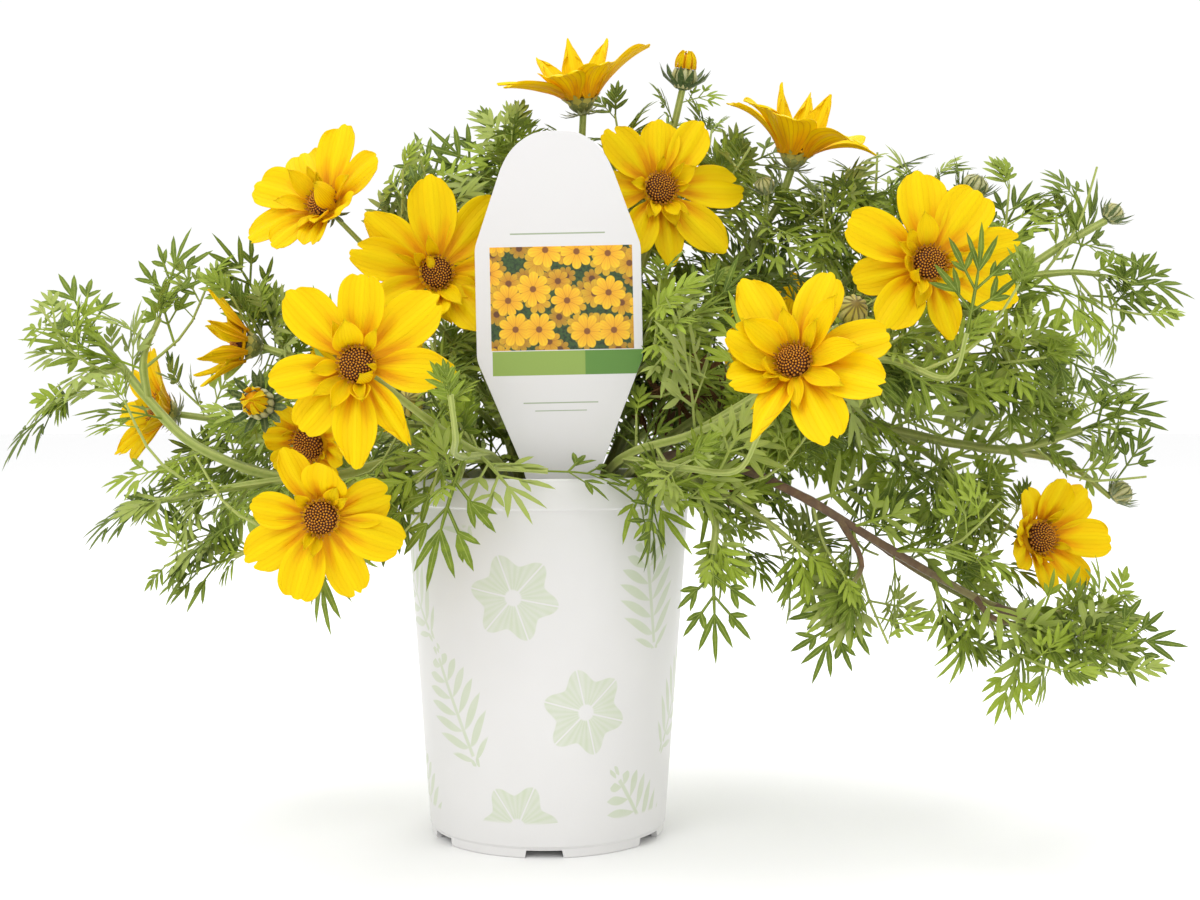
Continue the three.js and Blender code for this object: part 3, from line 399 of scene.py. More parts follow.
class Bench:
    """Where one material's nodes are put together."""

    SOCKETS = {
        "colour": "Base Color", "rough": "Roughness", "normal": "Normal", "specular": "Specular IOR Level",
        "coat": "Coat Weight", "coat_rough": "Coat Roughness", "sheen": "Sheen Weight",
        "sheen_rough": "Sheen Roughness", "within": "Subsurface Weight", "reach": "Subsurface Radius"}

    def __init__(self, name: str) -> None:
        """Starts an empty material.

        Args:
            name: The material's name.
        """
        self.material = bpy.data.materials.new(name)
        self.material.use_nodes = True
        self.tree = self.material.node_tree
        self.tree.nodes.clear()
        self.place = self.node("TexCoord").outputs["Object"]

    def node(self, kind: str, inputs: dict | None = None, **settings: object) -> bpy.types.Node:
        """Adds a node with its settings, and joins or sets its inputs.

        Args:
            kind: Its kind.
            inputs: What each socket is joined to or set to.
            settings: Its own settings.

        Returns:
            The node.
        """
        made = self.tree.nodes.new(f"ShaderNode{kind}")
        for key, value in settings.items():
            setattr(made, key, value)
        for key, value in (inputs or {}).items():
            value = value.socket if isinstance(value, Term) else value
            if isinstance(value, Socket):
                self.tree.links.new(value, made.inputs[key])
            else:
                made.inputs[key].default_value = value
        return made

    def math(self, operation: str, *values: object, clamp: bool = False) -> Term:
        """A math node on numbers."""
        made = self.node("Math", dict(enumerate(values)), operation=operation, use_clamp=clamp)
        return Term(self, made.outputs[0])

    def tone(self) -> list[Term]:
        """The four numbers of the piece's tone at this place.

        Returns:
            One term for each number.
        """
        made = self.node("Attribute", attribute_name="tone")
        parts = self.node("SeparateColor", {0: made.outputs["Color"]})
        return [*(Term(self, socket) for socket in parts.outputs), Term(self, made.outputs["Alpha"])]

    def across(self, vector: object) -> tuple[Term, Term, Term]:
        """The three numbers of a vector."""
        parts = self.node("SeparateXYZ", {0: vector}).outputs
        return Term(self, parts[0]), Term(self, parts[1]), Term(self, parts[2])

    def vector(self, x: object, y: object, z: object = 0.0) -> Socket:
        """Three numbers as a vector."""
        return self.node("CombineXYZ", {0: x, 1: y, 2: z}).outputs[0]

    def noise(
        self, size: float, detail: float = 2.0, vector: object = None, stretch: Triple = (1, 1, 1)
    ) -> Term:
        """Cloudy noise from 0 to 1 whose clouds have a size in metres."""
        place = self.node("Mapping", {0: vector or self.place, 3: stretch}).outputs[0]
        return Term(self, self.node("TexNoise", {0: place, 2: 1 / size, 3: detail}).outputs[0])

    def ramp(self, place: Term, *stops: tuple[float, Triple]) -> Socket:
        """Colours along a number, as (place, colour).

        Args:
            place: The number.
            stops: The places and colours.

        Returns:
            The colour.
        """
        made = self.node("ValToRGB", {0: place})
        elements = made.color_ramp.elements
        elements[0].position, elements[1].position = stops[0][0], stops[-1][0]
        for position, _ in stops[1:-1]:
            elements.new(position)
        for element, (_, colour) in zip(elements, stops):
            element.color = (*colour, 1)
        return made.outputs[0]

    def blend(self, share: object, first: object, second: object, how: str = "MIX") -> Socket:
        """Two colours blended by a share."""
        first, second = ((*c, 1) if isinstance(c, tuple) else c for c in (first, second))
        return self.node("Mix", {0: share, 6: first, 7: second}, data_type="RGBA", blend_type=how).outputs[2]

    def bump(self, height: object, depth: float) -> Socket:
        """Relief of a given depth in metres."""
        return self.node("Bump", {"Height": height, "Distance": depth, "Strength": 1.0}).outputs[0]

    def surface(self, glow: float = 0.0, **inputs: object) -> Material:
        """Ends the material.

        Args:
            glow: The share of light that comes through it, as through a thin leaf.
            inputs: What the surface's sockets take, by their short names.

        Returns:
            The material.
        """
        sockets = {self.SOCKETS[name]: value for name, value in inputs.items()}
        made = self.node("BsdfPrincipled", sockets).outputs[0]
        if glow:
            through = self.node("BsdfTranslucent", {"Color": inputs["colour"]}).outputs[0]
            made = self.node("MixShader", {0: glow, 1: made, 2: through}).outputs[0]
        output = self.node("OutputMaterial")
        self.tree.links.new(made, output.inputs[0])
        return self.material


@dataclass(frozen=True)
class PotPlastic:
    """White moulded plastic with a pale green print of fronds and round blossoms. Sizes in mm."""

    white: Triple = (0.745, 0.735, 0.725)
    print_green: Triple = (0.575, 0.630, 0.470)
    columns: int = 6
    row: float = 40.0
    radius: float = 48.0
    scale: float = 1.32
    printed: Pair = (12.0, 116.0)

    def make(self) -> Material:
        """The pot's material.

        Returns:
            The material.
        """
        bench = Bench("pot_plastic")
        x, y, z = bench.across(bench.place)
        height = z / MM
        step = TURN * self.radius / self.columns
        up = height / self.row + 0.22
        row = up.done("FLOOR")
        shifted = y.done("ARCTAN2", x) * (self.radius / step) + row.done("FLOORED_MODULO", 2.0) * 0.5 + 0.2
        column = shifted.done("FLOOR").done("FLOORED_MODULO", float(self.columns))
        luck = bench.node("TexWhiteNoise", {"Vector": bench.vector(column, row)}, noise_dimensions="2D")
        tilt = (Term(bench, luck.outputs["Value"]) - 0.5) * 1.6
        u = (shifted.done("FRACT") - 0.5) * (step / self.scale)
        v = (up.done("FRACT") - 0.5) * (self.row / self.scale)
        cos, sin = tilt.done("COSINE"), tilt.done("SINE")
        px, py = u * cos + v * sin, v * cos - u * sin
        is_frond = (column + row).done("FLOORED_MODULO", 2.0)
        motif = self.frond(px, py) * is_frond + self.blossom(px, py) * (is_frond * -1.0 + 1.0)
        low, high = self.printed
        on_wall = (height - (low + high) / 2).size().under((high - low) / 2, 1.0)
        wash = bench.noise(7 * MM, 3.0) * 0.6 + 0.55
        share = bench.math("MULTIPLY", motif * wash, on_wall, clamp=True)
        dimmer = tuple(c * 0.97 for c in self.white)
        plastic = bench.ramp(bench.noise(30 * MM, 2.0), (0.3, dimmer), (0.7, self.white))
        fine = bench.noise(1.1 * MM, 3.0)
        waves = bench.noise(14 * MM, 1.0, stretch=(1, 1, 0.25))
        return bench.surface(
            colour=bench.blend(share, plastic, self.print_green), rough=fine * 0.08 + 0.34, coat=0.12,
            coat_rough=0.25, within=0.06, reach=(0.004, 0.004, 0.004),
            normal=bench.bump(fine * 0.12 + waves, 0.0002))

    def frond(self, x: Term, y: Term) -> Term:
        """A fern-like frond about its middle.

        Args:
            x, y: The place on it.

        Returns:
            1 on the frond.
        """
        aside = x.size()
        reach = (y * y * (-1 / 225.0) + 1.0).done("MAXIMUM", 0.02).done("SQRT") * 10.5
        spacing = 4.6
        phase = ((y - aside * 0.75) / spacing).done("FRACT") - 0.5
        wide = ((aside / reach).done("MINIMUM", 1.0) * math.pi).done("SINE") * 1.75
        leaflet = (phase.size() * spacing - wide).under(0.0, 0.4)
        stalk = aside.under(0.75, 0.35) * y.size().under(14.0, 0.4)
        return leaflet.done("MAXIMUM", stalk)

    def blossom(self, x: Term, y: Term) -> Term:
        """A round six-petalled blossom about its middle.

        Args:
            x, y: The place on it.

        Returns:
            1 on the blossom.
        """
        reach = (x * x + y * y).done("SQRT")
        angle = y.done("ARCTAN2", x)
        edge = (angle * 6.0).done("COSINE") * 1.6 + 10.2
        gap = (angle * 3.0 + math.pi / 2).done("COSINE").size() * reach
        petals = (reach - edge).under(0.0, 0.4) * (gap.under(0.9, 0.5) * -1.0 + 1.0)
        vein = (angle * 30.0).done("COSINE") * 0.16 + 0.84
        return petals * vein * (reach * -1.0).under(-1.9, 0.5)


@dataclass(frozen=True)
class LabelPrint:
    """Satin white card plastic with a drawn panel of yellow blossoms, a green band and thin rules."""

    white: Triple = (0.735, 0.725, 0.725)
    panel: tuple[float, ...] = (-23.7, 25.8, 44.1, 80.1)  # left, right, bottom, top
    rules: tuple[tuple[float, ...], ...] = (
        (-13.0, 13.0, 25.6, 26.1), (-9.0, 9.0, 22.9, 23.3), (-16.5, 16.5, 84.2, 84.8))
    petal: tuple[tuple[float, Triple], ...] = (
        (0.12, (0.44, 0.12, 0.003)), (0.5, (0.82, 0.38, 0.004)), (0.9, (0.93, 0.58, 0.008)))
    band: Pair = (35.4, 44.1)
    soft: float = 0.08
    band_light: Triple = (0.27, 0.39, 0.07)
    band_dark: Triple = (0.10, 0.245, 0.03)

    def make(self) -> Material:
        """The label's material. Its tone holds the place on the card, and which side this is.

        Returns:
            The material.
        """
        bench = Bench("label_print")
        across, up, front, _ = bench.tone()
        u, v = across * 100.0 - 50.0, up * 200.0 - 100.0
        left, right, bottom, top = self.panel
        inside = self.box(u, v, left, right, bottom, top)
        picture = self.blossoms(bench, u, v)
        low, high = self.band
        banded = self.box(u, v, left + 0.3, 30.0, low, high - 0.2)
        tint = bench.blend((u - 8.6).done("MULTIPLY", 3.0).done("MINIMUM", 1.0).done("MAXIMUM", 0.0),
                           self.band_light, self.band_dark)
        rules = self.box(u, v, *self.rules[0])
        for rule in self.rules[1:]:
            rules = rules.done("MAXIMUM", self.box(u, v, *rule))
        paper = bench.blend(bench.noise(20 * MM, 2.0) * 0.03, self.white, (0.7, 0.72, 0.7))
        colour = bench.blend(inside * front, paper, picture)
        colour = bench.blend(banded * front, colour, tint)
        colour = bench.blend(rules * front * 0.8, colour, (0.25, 0.33, 0.16))
        fine = bench.noise(0.9 * MM, 2.0)
        bend = bench.noise(26 * MM, 1.0)
        return bench.surface(
            colour=colour, rough=fine * 0.06 + 0.36, coat=0.2, coat_rough=0.2,
            normal=bench.bump(bend + fine * 0.03, 0.0004))

    def box(self, u: Term, v: Term, left: float, right: float, bottom: float, top: float) -> Term:
        """1 inside a box on the card."""
        wide = (u - (left + right) / 2).size().under((right - left) / 2, self.soft)
        return wide * (v - (bottom + top) / 2).size().under((top - bottom) / 2, self.soft)

    def blossoms(self, bench: Bench, u: Term, v: Term) -> Socket:
        """A drawn bed of yellow blossoms over dark green, from three layers of scattered flowers.

        Args:
            bench: The material's bench.
            u, v: The place on the card.

        Returns:
            The picture's colour.
        """
        leaves = bench.noise(1.0, 4.0, bench.vector(u * 0.9, v * 0.9))
        colour = bench.ramp(leaves, (0.3, (0.006, 0.018, 0.004)), (0.62, (0.035, 0.085, 0.012)))
        for layer, (size, shade) in enumerate([(8.5, 0.5), (10.5, 0.72), (13.0, 1.0)]):
            where = bench.vector((u + 31.7 * layer) / size, (v + 17.3 * layer) / size)
            cells = bench.node("TexVoronoi", {"Vector": where, "Scale": 1.0, "Randomness": 0.75},
                               voronoi_dimensions="2D")
            away = bench.node("VectorMath", {0: where, 1: cells.outputs["Position"]},
                              operation="SUBTRACT").outputs[0]
            x, y, _ = bench.across(away)
            luck, more, _ = bench.across(cells.outputs["Color"])
            reach = (x * x + y * y).done("SQRT") * size
            angle = y.done("ARCTAN2", x) + luck * TURN
            lobe = (angle * 4.0).done("COSINE").size().done("POWER", 0.45)
            edge = (lobe * 0.42 + 0.58) * (more * 1.2 + 5.4) * (size / 13.5)
            petal = (reach - edge).under(0.0, 0.3)
            groove = (angle * 24.0).done("COSINE") * 0.08
            fall = (reach / edge) * 0.45 + lobe * 0.3 + groove + more * 0.15
            yellow = bench.ramp(fall, *((at, (r * shade, g * shade, b)) for at, (r, g, b) in self.petal))
            colour = bench.blend(petal, colour, yellow)
            eye = reach.under(1.25, 0.3)
            colour = bench.blend(eye, colour, (0.23 * shade, 0.075 * shade, 0.006))
        return colour


@dataclass(frozen=True)
class PottingMixFinish:
    """Dark peaty grains with bark chips and pale perlite. The tone says which of them a grain is."""

    peat: Triple = (0.022, 0.013, 0.008)
    bark: Triple = (0.105, 0.055, 0.026)
    perlite: Triple = (0.62, 0.58, 0.52)

    def make(self) -> Material:
        """The potting mix's material.

        Returns:
            The material.
        """
        bench = Bench("potting_mix")
        luck, perlite, bark, _ = bench.tone()
        grain = bench.noise(1.6 * MM, 4.0)
        peat = bench.ramp(grain, (0.35, self.peat), (0.7, tuple(c * 2.6 for c in self.peat)))
        chips = bench.ramp(luck, (0, tuple(c * 0.5 for c in self.bark)), (1, self.bark))
        colour = bench.blend(bark, peat, chips)
        colour = bench.blend(perlite, colour, self.perlite)
        cells = bench.node("TexVoronoi", {"Vector": bench.place, "Scale": 1 / (0.9 * MM)})
        relief = grain * 0.8 + Term(bench, cells.outputs["Distance"]) * 0.5
        return bench.surface(
            colour=colour, rough=0.92, specular=0.25, normal=bench.bump(relief, 0.0006))


@dataclass(frozen=True)
class LeafGreen:
    """Soft, slightly downy leaf green. Tone: luck with painted heart shade, the place along and around it,
    and dryness.
    """

    deep: Triple = (0.080, 0.135, 0.014)
    bright: Triple = (0.378, 0.498, 0.040)
    grey: Triple = (0.420, 0.490, 0.150)
    rib: Triple = (0.500, 0.570, 0.130)
    dry: Triple = (0.230, 0.110, 0.035)

    def make(self) -> Material:
        """The leaves' material.

        Returns:
            The material.
        """
        bench = Bench("leaf_green")
        luck, along, around, dryness = bench.tone()
        cloud = bench.noise(3.5 * MM, 3.0) - 0.5
        # The first tone is the leaf's luck, held low for leaves in painted shade in the plant's heart; low
        # values give the deep green.
        base = bench.ramp(luck + cloud * 0.5, (0.0, self.deep), (0.55, self.bright), (1.0, self.grey))
        base = bench.blend(along * 0.2, base, self.bright)
        lower = bench.math("MULTIPLY", around - 0.5, 4.0, clamp=True)
        colour = bench.blend(lower, base, bench.blend(0.35, base, self.grey))
        colour = bench.blend(around.under(0.10, 0.08) * 0.5, colour, self.rib)
        speck = bench.noise(0.5 * MM, 2.0)
        colour = bench.blend(((speck - 0.45) * 0.7).done("MAXIMUM", 0.0), colour, self.grey)
        dried = bench.ramp(speck, (0.3, tuple(c * 0.45 for c in self.dry)), (0.7, self.dry))
        return bench.surface(
            colour=bench.blend(dryness, colour, dried), rough=speck * 0.2 + 0.5, specular=0.20, sheen=0.03,
            sheen_rough=0.5, normal=bench.bump(bench.noise(0.35 * MM, 2.0), 0.00008), glow=0.24)


@dataclass(frozen=True)
class StemSkin:
    """Pale green ridged stalk with fine down, turning to brown bark. The tone's alpha is how woody it is."""

    green: Triple = (0.260, 0.330, 0.055)
    pale: Triple = (0.46, 0.52, 0.14)
    flush: Triple = (0.25, 0.125, 0.060)
    bark: Triple = (0.200, 0.125, 0.070)

    def make(self) -> Material:
        """The stalks' material.

        Returns:
            The material.
        """
        bench = Bench("stem_skin")
        luck, _, ridge, woody = bench.tone()
        streak = bench.noise(2.2 * MM, 3.0)
        green = bench.ramp(streak * 0.5 + ridge * 0.5, (0.2, self.green), (0.75, self.pale))
        flushed = bench.ramp(bench.noise(9 * MM, 2.0), (0.3, self.flush), (0.65, self.bark))
        bark = bench.blend(streak, flushed, tuple(c * 0.45 for c in self.bark))
        colour = bench.blend((woody + streak * 0.4 - 0.2).held(), green, bark)
        down = bench.noise(0.3 * MM, 2.0)
        return bench.surface(
            colour=colour, rough=luck * 0.05 + 0.55, specular=0.4, sheen=0.20, sheen_rough=0.4,
            normal=bench.bump(down + streak * 1.5, 0.00015))


@dataclass(frozen=True)
class RayYellow:
    """Clear yellow ray, golden at its foot and behind, with painted golden shade in its folds. Tone: along,
    across, fold shade, behind.
    """

    yellow: Triple = (0.990, 0.775, 0.001)
    golden: Triple = (0.950, 0.550, 0.002)
    amber: Triple = (0.830, 0.350, 0.004)
    line: Triple = (0.560, 0.200, 0.010)

    def make(self) -> Material:
        """The rays' material.

        Returns:
            The material.
        """
        bench = Bench("ray_yellow")
        along, across, fold, behind = bench.tone()
        streaks = bench.noise(0.35, 3.0, bench.vector(across * 5.0, along * 0.7)) - 0.5
        # The fold tone is painted shade: it moves the colour towards amber and golden in the pleats'
        # valleys, here and in the golden blend below.
        depth = along - fold * 0.30 + streaks * 0.26 + 0.12
        colour = bench.ramp(depth, (0.0, self.amber), (0.11, self.golden), (0.38, self.yellow))
        vein = ((across * (TURN * 9)).done("COSINE") * 0.5 + 0.5).done("POWER", 9.0)
        colour = bench.blend(vein * 0.10, colour, self.golden)
        colour = bench.blend(fold * 0.34, colour, self.golden)
        colour = bench.blend(behind * 0.22, colour, self.golden)
        colour = bench.blend(vein * behind * 0.38, colour, self.line)
        return bench.surface(
            colour=colour, rough=streaks * 0.15 + 0.55, specular=0.14,
            normal=bench.bump(vein * -0.6 + streaks * 0.9, 0.00014), glow=0.3)


@dataclass(frozen=True)
class DiscFlorets:
    """Brown floret throats with golden tips. Tone: height on the floret, luck, and how open it is."""

    throat: Triple = (0.035, 0.009, 0.003)
    body: Triple = (0.210, 0.045, 0.006)
    tip: Triple = (0.760, 0.325, 0.022)
    anther: Triple = (0.075, 0.030, 0.012)

    def make(self) -> Material:
        """The disc's material.

        Returns:
            The material.
        """
        bench = Bench("disc_florets")
        height, luck, opened, _ = bench.tone()
        grain = bench.noise(0.25 * MM, 2.0)
        height = height + grain * 0.2 - 0.1
        colour = bench.ramp(height, (0.1, self.throat), (0.5, self.body), (0.9, self.tip))
        colour = bench.blend(luck * 0.35, colour, self.body)
        colour = bench.blend(opened, colour, bench.blend(grain, self.anther, self.tip))
        return bench.surface(
            colour=colour, rough=grain * 0.2 + 0.5, specular=0.35, normal=bench.bump(grain, 0.00008))


@dataclass(frozen=True)
class BudScale:
    """Bract green with a paler stripe and brown edges. Tone: luck, along, around and how brown it is."""

    green: Triple = (0.060, 0.110, 0.020)
    stripe: Triple = (0.380, 0.440, 0.150)
    down: Triple = (0.620, 0.640, 0.430)
    brown: Triple = (0.110, 0.055, 0.018)
    straw: Triple = (0.56, 0.47, 0.060)

    def make(self) -> Material:
        """The bracts' and bud scales' material.

        Returns:
            The material.
        """
        bench = Bench("bud_scale")
        luck, along, around, browned = bench.tone()
        grain = bench.noise(0.8 * MM, 3.0)
        green = bench.ramp(grain + luck * 0.3 - 0.15, (0.3, self.green), (0.8, self.stripe))
        colour = bench.blend(around.under(0.16, 0.14) * 0.5, green, self.stripe)
        hairs = (around * 2.0 - 0.75).done("MAXIMUM", 0.0) * 2.4 * bench.noise(0.4 * MM, 2.0)
        colour = bench.blend(bench.math("MULTIPLY", hairs, luck, clamp=True), colour, self.down)
        brown = bench.ramp(around * 2.0, (0.1, self.brown), (0.8, self.straw))
        colour = bench.blend(browned.held(), colour, brown)
        colour = bench.blend(along * browned * 0.4, colour, self.straw)
        return bench.surface(
            colour=colour, rough=grain * 0.1 + 0.5, sheen=0.25, normal=bench.bump(grain, 0.0001),
            glow=0.12)


@dataclass(frozen=True)
class FloorPaint:
    """Plain pale matt floor."""

    colour: Triple = (0.96, 0.96, 0.96)

    def make(self) -> Material:
        """The floor's material."""
        bench = Bench("studio_floor")
        return bench.surface(colour=(*self.colour, 1), rough=0.9, specular=0.1)


@dataclass
class NurseryPot:
    """The moulded pot, turned about its axis, with gaps in its foot and holes in its floor. Sizes in mm."""

    height: float = 132.0
    rim_radius: float = 53.5
    rim_depth: float = 10.6
    mouth_radius: float = 51.4
    shoulder_radius: float = 52.0
    bottom_radius: float = 43.6
    foot_radius: float = 42.9
    foot_height: float = 2.4
    foot_width: float = 2.6
    wall: float = 1.2
    floor: float = 1.4
    sides: int = 144
    gaps: int = 6
    gap_width: float = 14.0
    gap_top_width: float = 12.4
    gap_height: float = 2.8
    drain_radius: float = 3.5
    drain_ring: float = 33.0
    crease: float = 28.0

    def inner_radius(self, z: float) -> float:
        """The wall's inside radius at a height."""
        share = (z - self.foot_height - 1.8) / (self.height - self.rim_depth - self.foot_height - 1.8)
        return self.bottom_radius + (self.shoulder_radius - self.bottom_radius) * share - self.wall

    def profile(self) -> list[Pair]:
        """The pot's section, from the middle of its underside round its rim to the middle of its floor.

        Returns:
            Its points, as (radius, height).
        """
        shoulder = self.height - self.rim_depth
        foot, inner = self.foot_height, self.inner_radius
        floor_top = foot + self.floor
        foot_inner = self.foot_radius - self.foot_width
        lip = 0.5 * (self.rim_radius + self.mouth_radius)
        bead = 0.5 * (self.rim_radius - self.mouth_radius)
        outside = [
            (0, foot), (foot_inner - 0.4, foot), (foot_inner, foot - 0.4), (foot_inner, 0.5),
            (foot_inner + 0.5, 0), (self.foot_radius - 0.5, 0), (self.foot_radius, 0.5),
            (self.foot_radius, foot + 0.8), (self.bottom_radius, foot + 1.8),
            (self.bottom_radius + 0.14, foot + 3.8),
            (self.shoulder_radius - 0.09, shoulder - 1.2), (self.shoulder_radius, shoulder - 0.3),
            (self.shoulder_radius + 0.3, shoulder), (self.rim_radius - 0.4, shoulder + 0.1),
            (self.rim_radius - 0.1, shoulder + 0.4), (self.rim_radius, shoulder + 0.9),
            (self.rim_radius, self.height - 1.2),
        ]
        angles = np.radians([20, 45, 70, 90, 110, 135, 160])
        bead_top = [(lip + bead * math.cos(a), self.height - 1.05 + 1.05 * math.sin(a)) for a in angles]
        inside = [
            (self.mouth_radius, self.height - 1.4), (inner(shoulder) + 0.3, shoulder + 0.6),
            (inner(shoulder), shoulder - 0.2), (inner(floor_top + 1.2), floor_top + 1.2),
            (inner(floor_top) - 0.5, floor_top + 0.3), (inner(floor_top) - 1.4, floor_top), (0, floor_top),
        ]
        return outside + bead_top + inside

    def build(self) -> Iterator[Piece]:
        """Makes the pot.

        Yields:
            The pot.
        """
        points, faces = revolved(self.profile(), self.sides)
        work = Patchwork()
        work.add(points * MM, faces, np.zeros(4))
        pot = work.piece("nursery_pot", Slot.POT, [PotPlastic().make()], self.crease)
        self.cut(pot)
        pot.data.set_sharp_from_angle(angle=math.radians(self.crease))
        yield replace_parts(pot, "pot")

    def cutters(self) -> Piece:
        """One body for each gap under the foot and each drain hole, as one object.

        Returns:
            The cutters.
        """
        work = Patchwork()
        depth, top, low = 9.0, self.gap_height, -1.0
        for i in range(self.gaps):
            angle = TURN * i / self.gaps - TURN / 4
            rows = [(self.gap_width / 2, low), (self.gap_top_width / 2, top)]
            start = self.foot_radius - depth / 2
            corners = [(start + far, side * half, z)
                       for far in (0, depth) for half, z in rows for side in (-1, 1)]
            box = [[0, 2, 3, 1], [4, 5, 7, 6], [0, 1, 5, 4], [2, 6, 7, 3], [0, 4, 6, 2], [1, 3, 7, 5]]
            work.add(turned(np.array(corners, float), angle) * MM, [np.array(box)], np.zeros(4))
            r, z = self.drain_radius, self.foot_height
            rod, faces = revolved([(0, z - 2), (r, z - 2), (r, z + 4), (0, z + 4)], 24)
            work.add(turned(rod + [self.drain_ring, 0, 0], angle) * MM, faces, np.zeros(4))
        return work.piece("pot_cutters", Slot.POT, [], 30)

    def cut(self, pot: Piece) -> None:
        """Cuts the gaps and the drain holes, and takes the cutters away.

        Args:
            pot: The pot.
        """
        cutters = self.cutters()
        cut = pot.modifiers.new("cut", "BOOLEAN")
        cut.object = cutters
        cut.operation = "DIFFERENCE"
        cut.solver = "EXACT"
        graph = bpy.context.evaluated_depsgraph_get()
        pot.data = bpy.data.meshes.new_from_object(pot.evaluated_get(graph))
        pot.data.name = pot.name
        pot.modifiers.clear()
        bpy.data.objects.remove(cutters)


@dataclass
class PlantLabel:
    """The card in the pot's front: an arched head, sloping shoulders, a panel and a stake. Sizes in mm."""

    y: float = -38.0
    centre: float = 6.3
    pivot: float = 132.0
    thickness: float = 0.8
    top: float = 253.0
    crown_radius: float = 20.5
    lean: float = math.radians(1.2)
    right_side: tuple[Pair, ...] = ((7, 74), (7, 100), (13, 134), (28.8, 173), (28.8, 212))
    tip: float = 62.0
    rounding: tuple[float, ...] = (2, 3, 6, 2, 2)

    def outline(self) -> Array:
        """The card's outline in its own plane, anticlockwise from its tip, with rounded corners.

        Returns:
            Its points.
        """
        crown = self.crown_radius
        angles = np.radians([22, 39, 56, 73])
        arch = [(crown * math.cos(a), self.top - crown + crown * math.sin(a)) for a in angles]
        right = [*self.right_side, *arch]
        corners = [(0.0, self.tip), *right, *((-x, z) for x, z in reversed(right))]
        cuts = [1.0, *self.rounding, 4, 4, 4, 4]
        cuts += cuts[:0:-1]
        made = []
        for i, corner in enumerate(corners):
            here = np.array(corner)
            before, after = np.array(corners[i - 1]), np.array(corners[(i + 1) % len(corners)])
            ends = []
            for other in (before, after):
                length = np.linalg.norm(other - here)
                ends.append(here + (other - here) * min(cuts[i], 0.48 * length) / length)
            for t in np.linspace(0, 1, 6):
                made.append((1 - t) ** 2 * ends[0] + 2 * t * (1 - t) * here + t * t * ends[1])
        return np.array(made)

    def build(self) -> Iterator[Piece]:
        """Makes the label.

        Yields:
            The label.
        """
        flat = self.outline()
        n = len(flat)
        half = self.thickness / 2
        bevel = 0.12
        centre = flat.mean(axis=0)
        inward = unit(centre - flat) * bevel
        layers = [(flat + inward, -half), (flat, -half + bevel), (flat, half - bevel), (flat + inward, half)]
        sheets = [np.stack([p[:, 0], np.full(n, y), p[:, 1] - self.pivot], -1) for p, y in layers]
        points = np.concatenate(sheets)
        tones = np.zeros((len(points), 4))
        tones[:, 0] = (points[:, 0] + 50) / 100
        tones[:, 1] = (points[:, 2] + 100) / 200
        tones[:, 2] = np.where(points[:, 1] < -half + bevel / 2, 1.0, 0.0)
        cos, sin = math.cos(self.lean), math.sin(self.lean)
        tip_back = np.array([[1, 0, 0], [0, cos, sin], [0, -sin, cos]])
        tip_side = np.array([[cos, 0, -sin], [0, 1, 0], [sin, 0, cos]])
        points = points @ tip_back.T @ tip_side.T + [self.centre, self.y, self.pivot]
        index = np.arange(n)
        after = (index + 1) % n
        walls = [np.stack([index + k * n, after + k * n, after + (k + 1) * n, index + (k + 1) * n], -1)
                 for k in range(3)]
        caps = [index[None, :], (index[::-1] + 3 * n)[None, :]]
        work = Patchwork()
        work.add(points * MM, [caps[0], caps[1], *(w[:, ::-1] for w in walls)], tones)
        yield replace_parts(work.piece("plant_label", Slot.LABEL, [LabelPrint().make()], 30), "label")


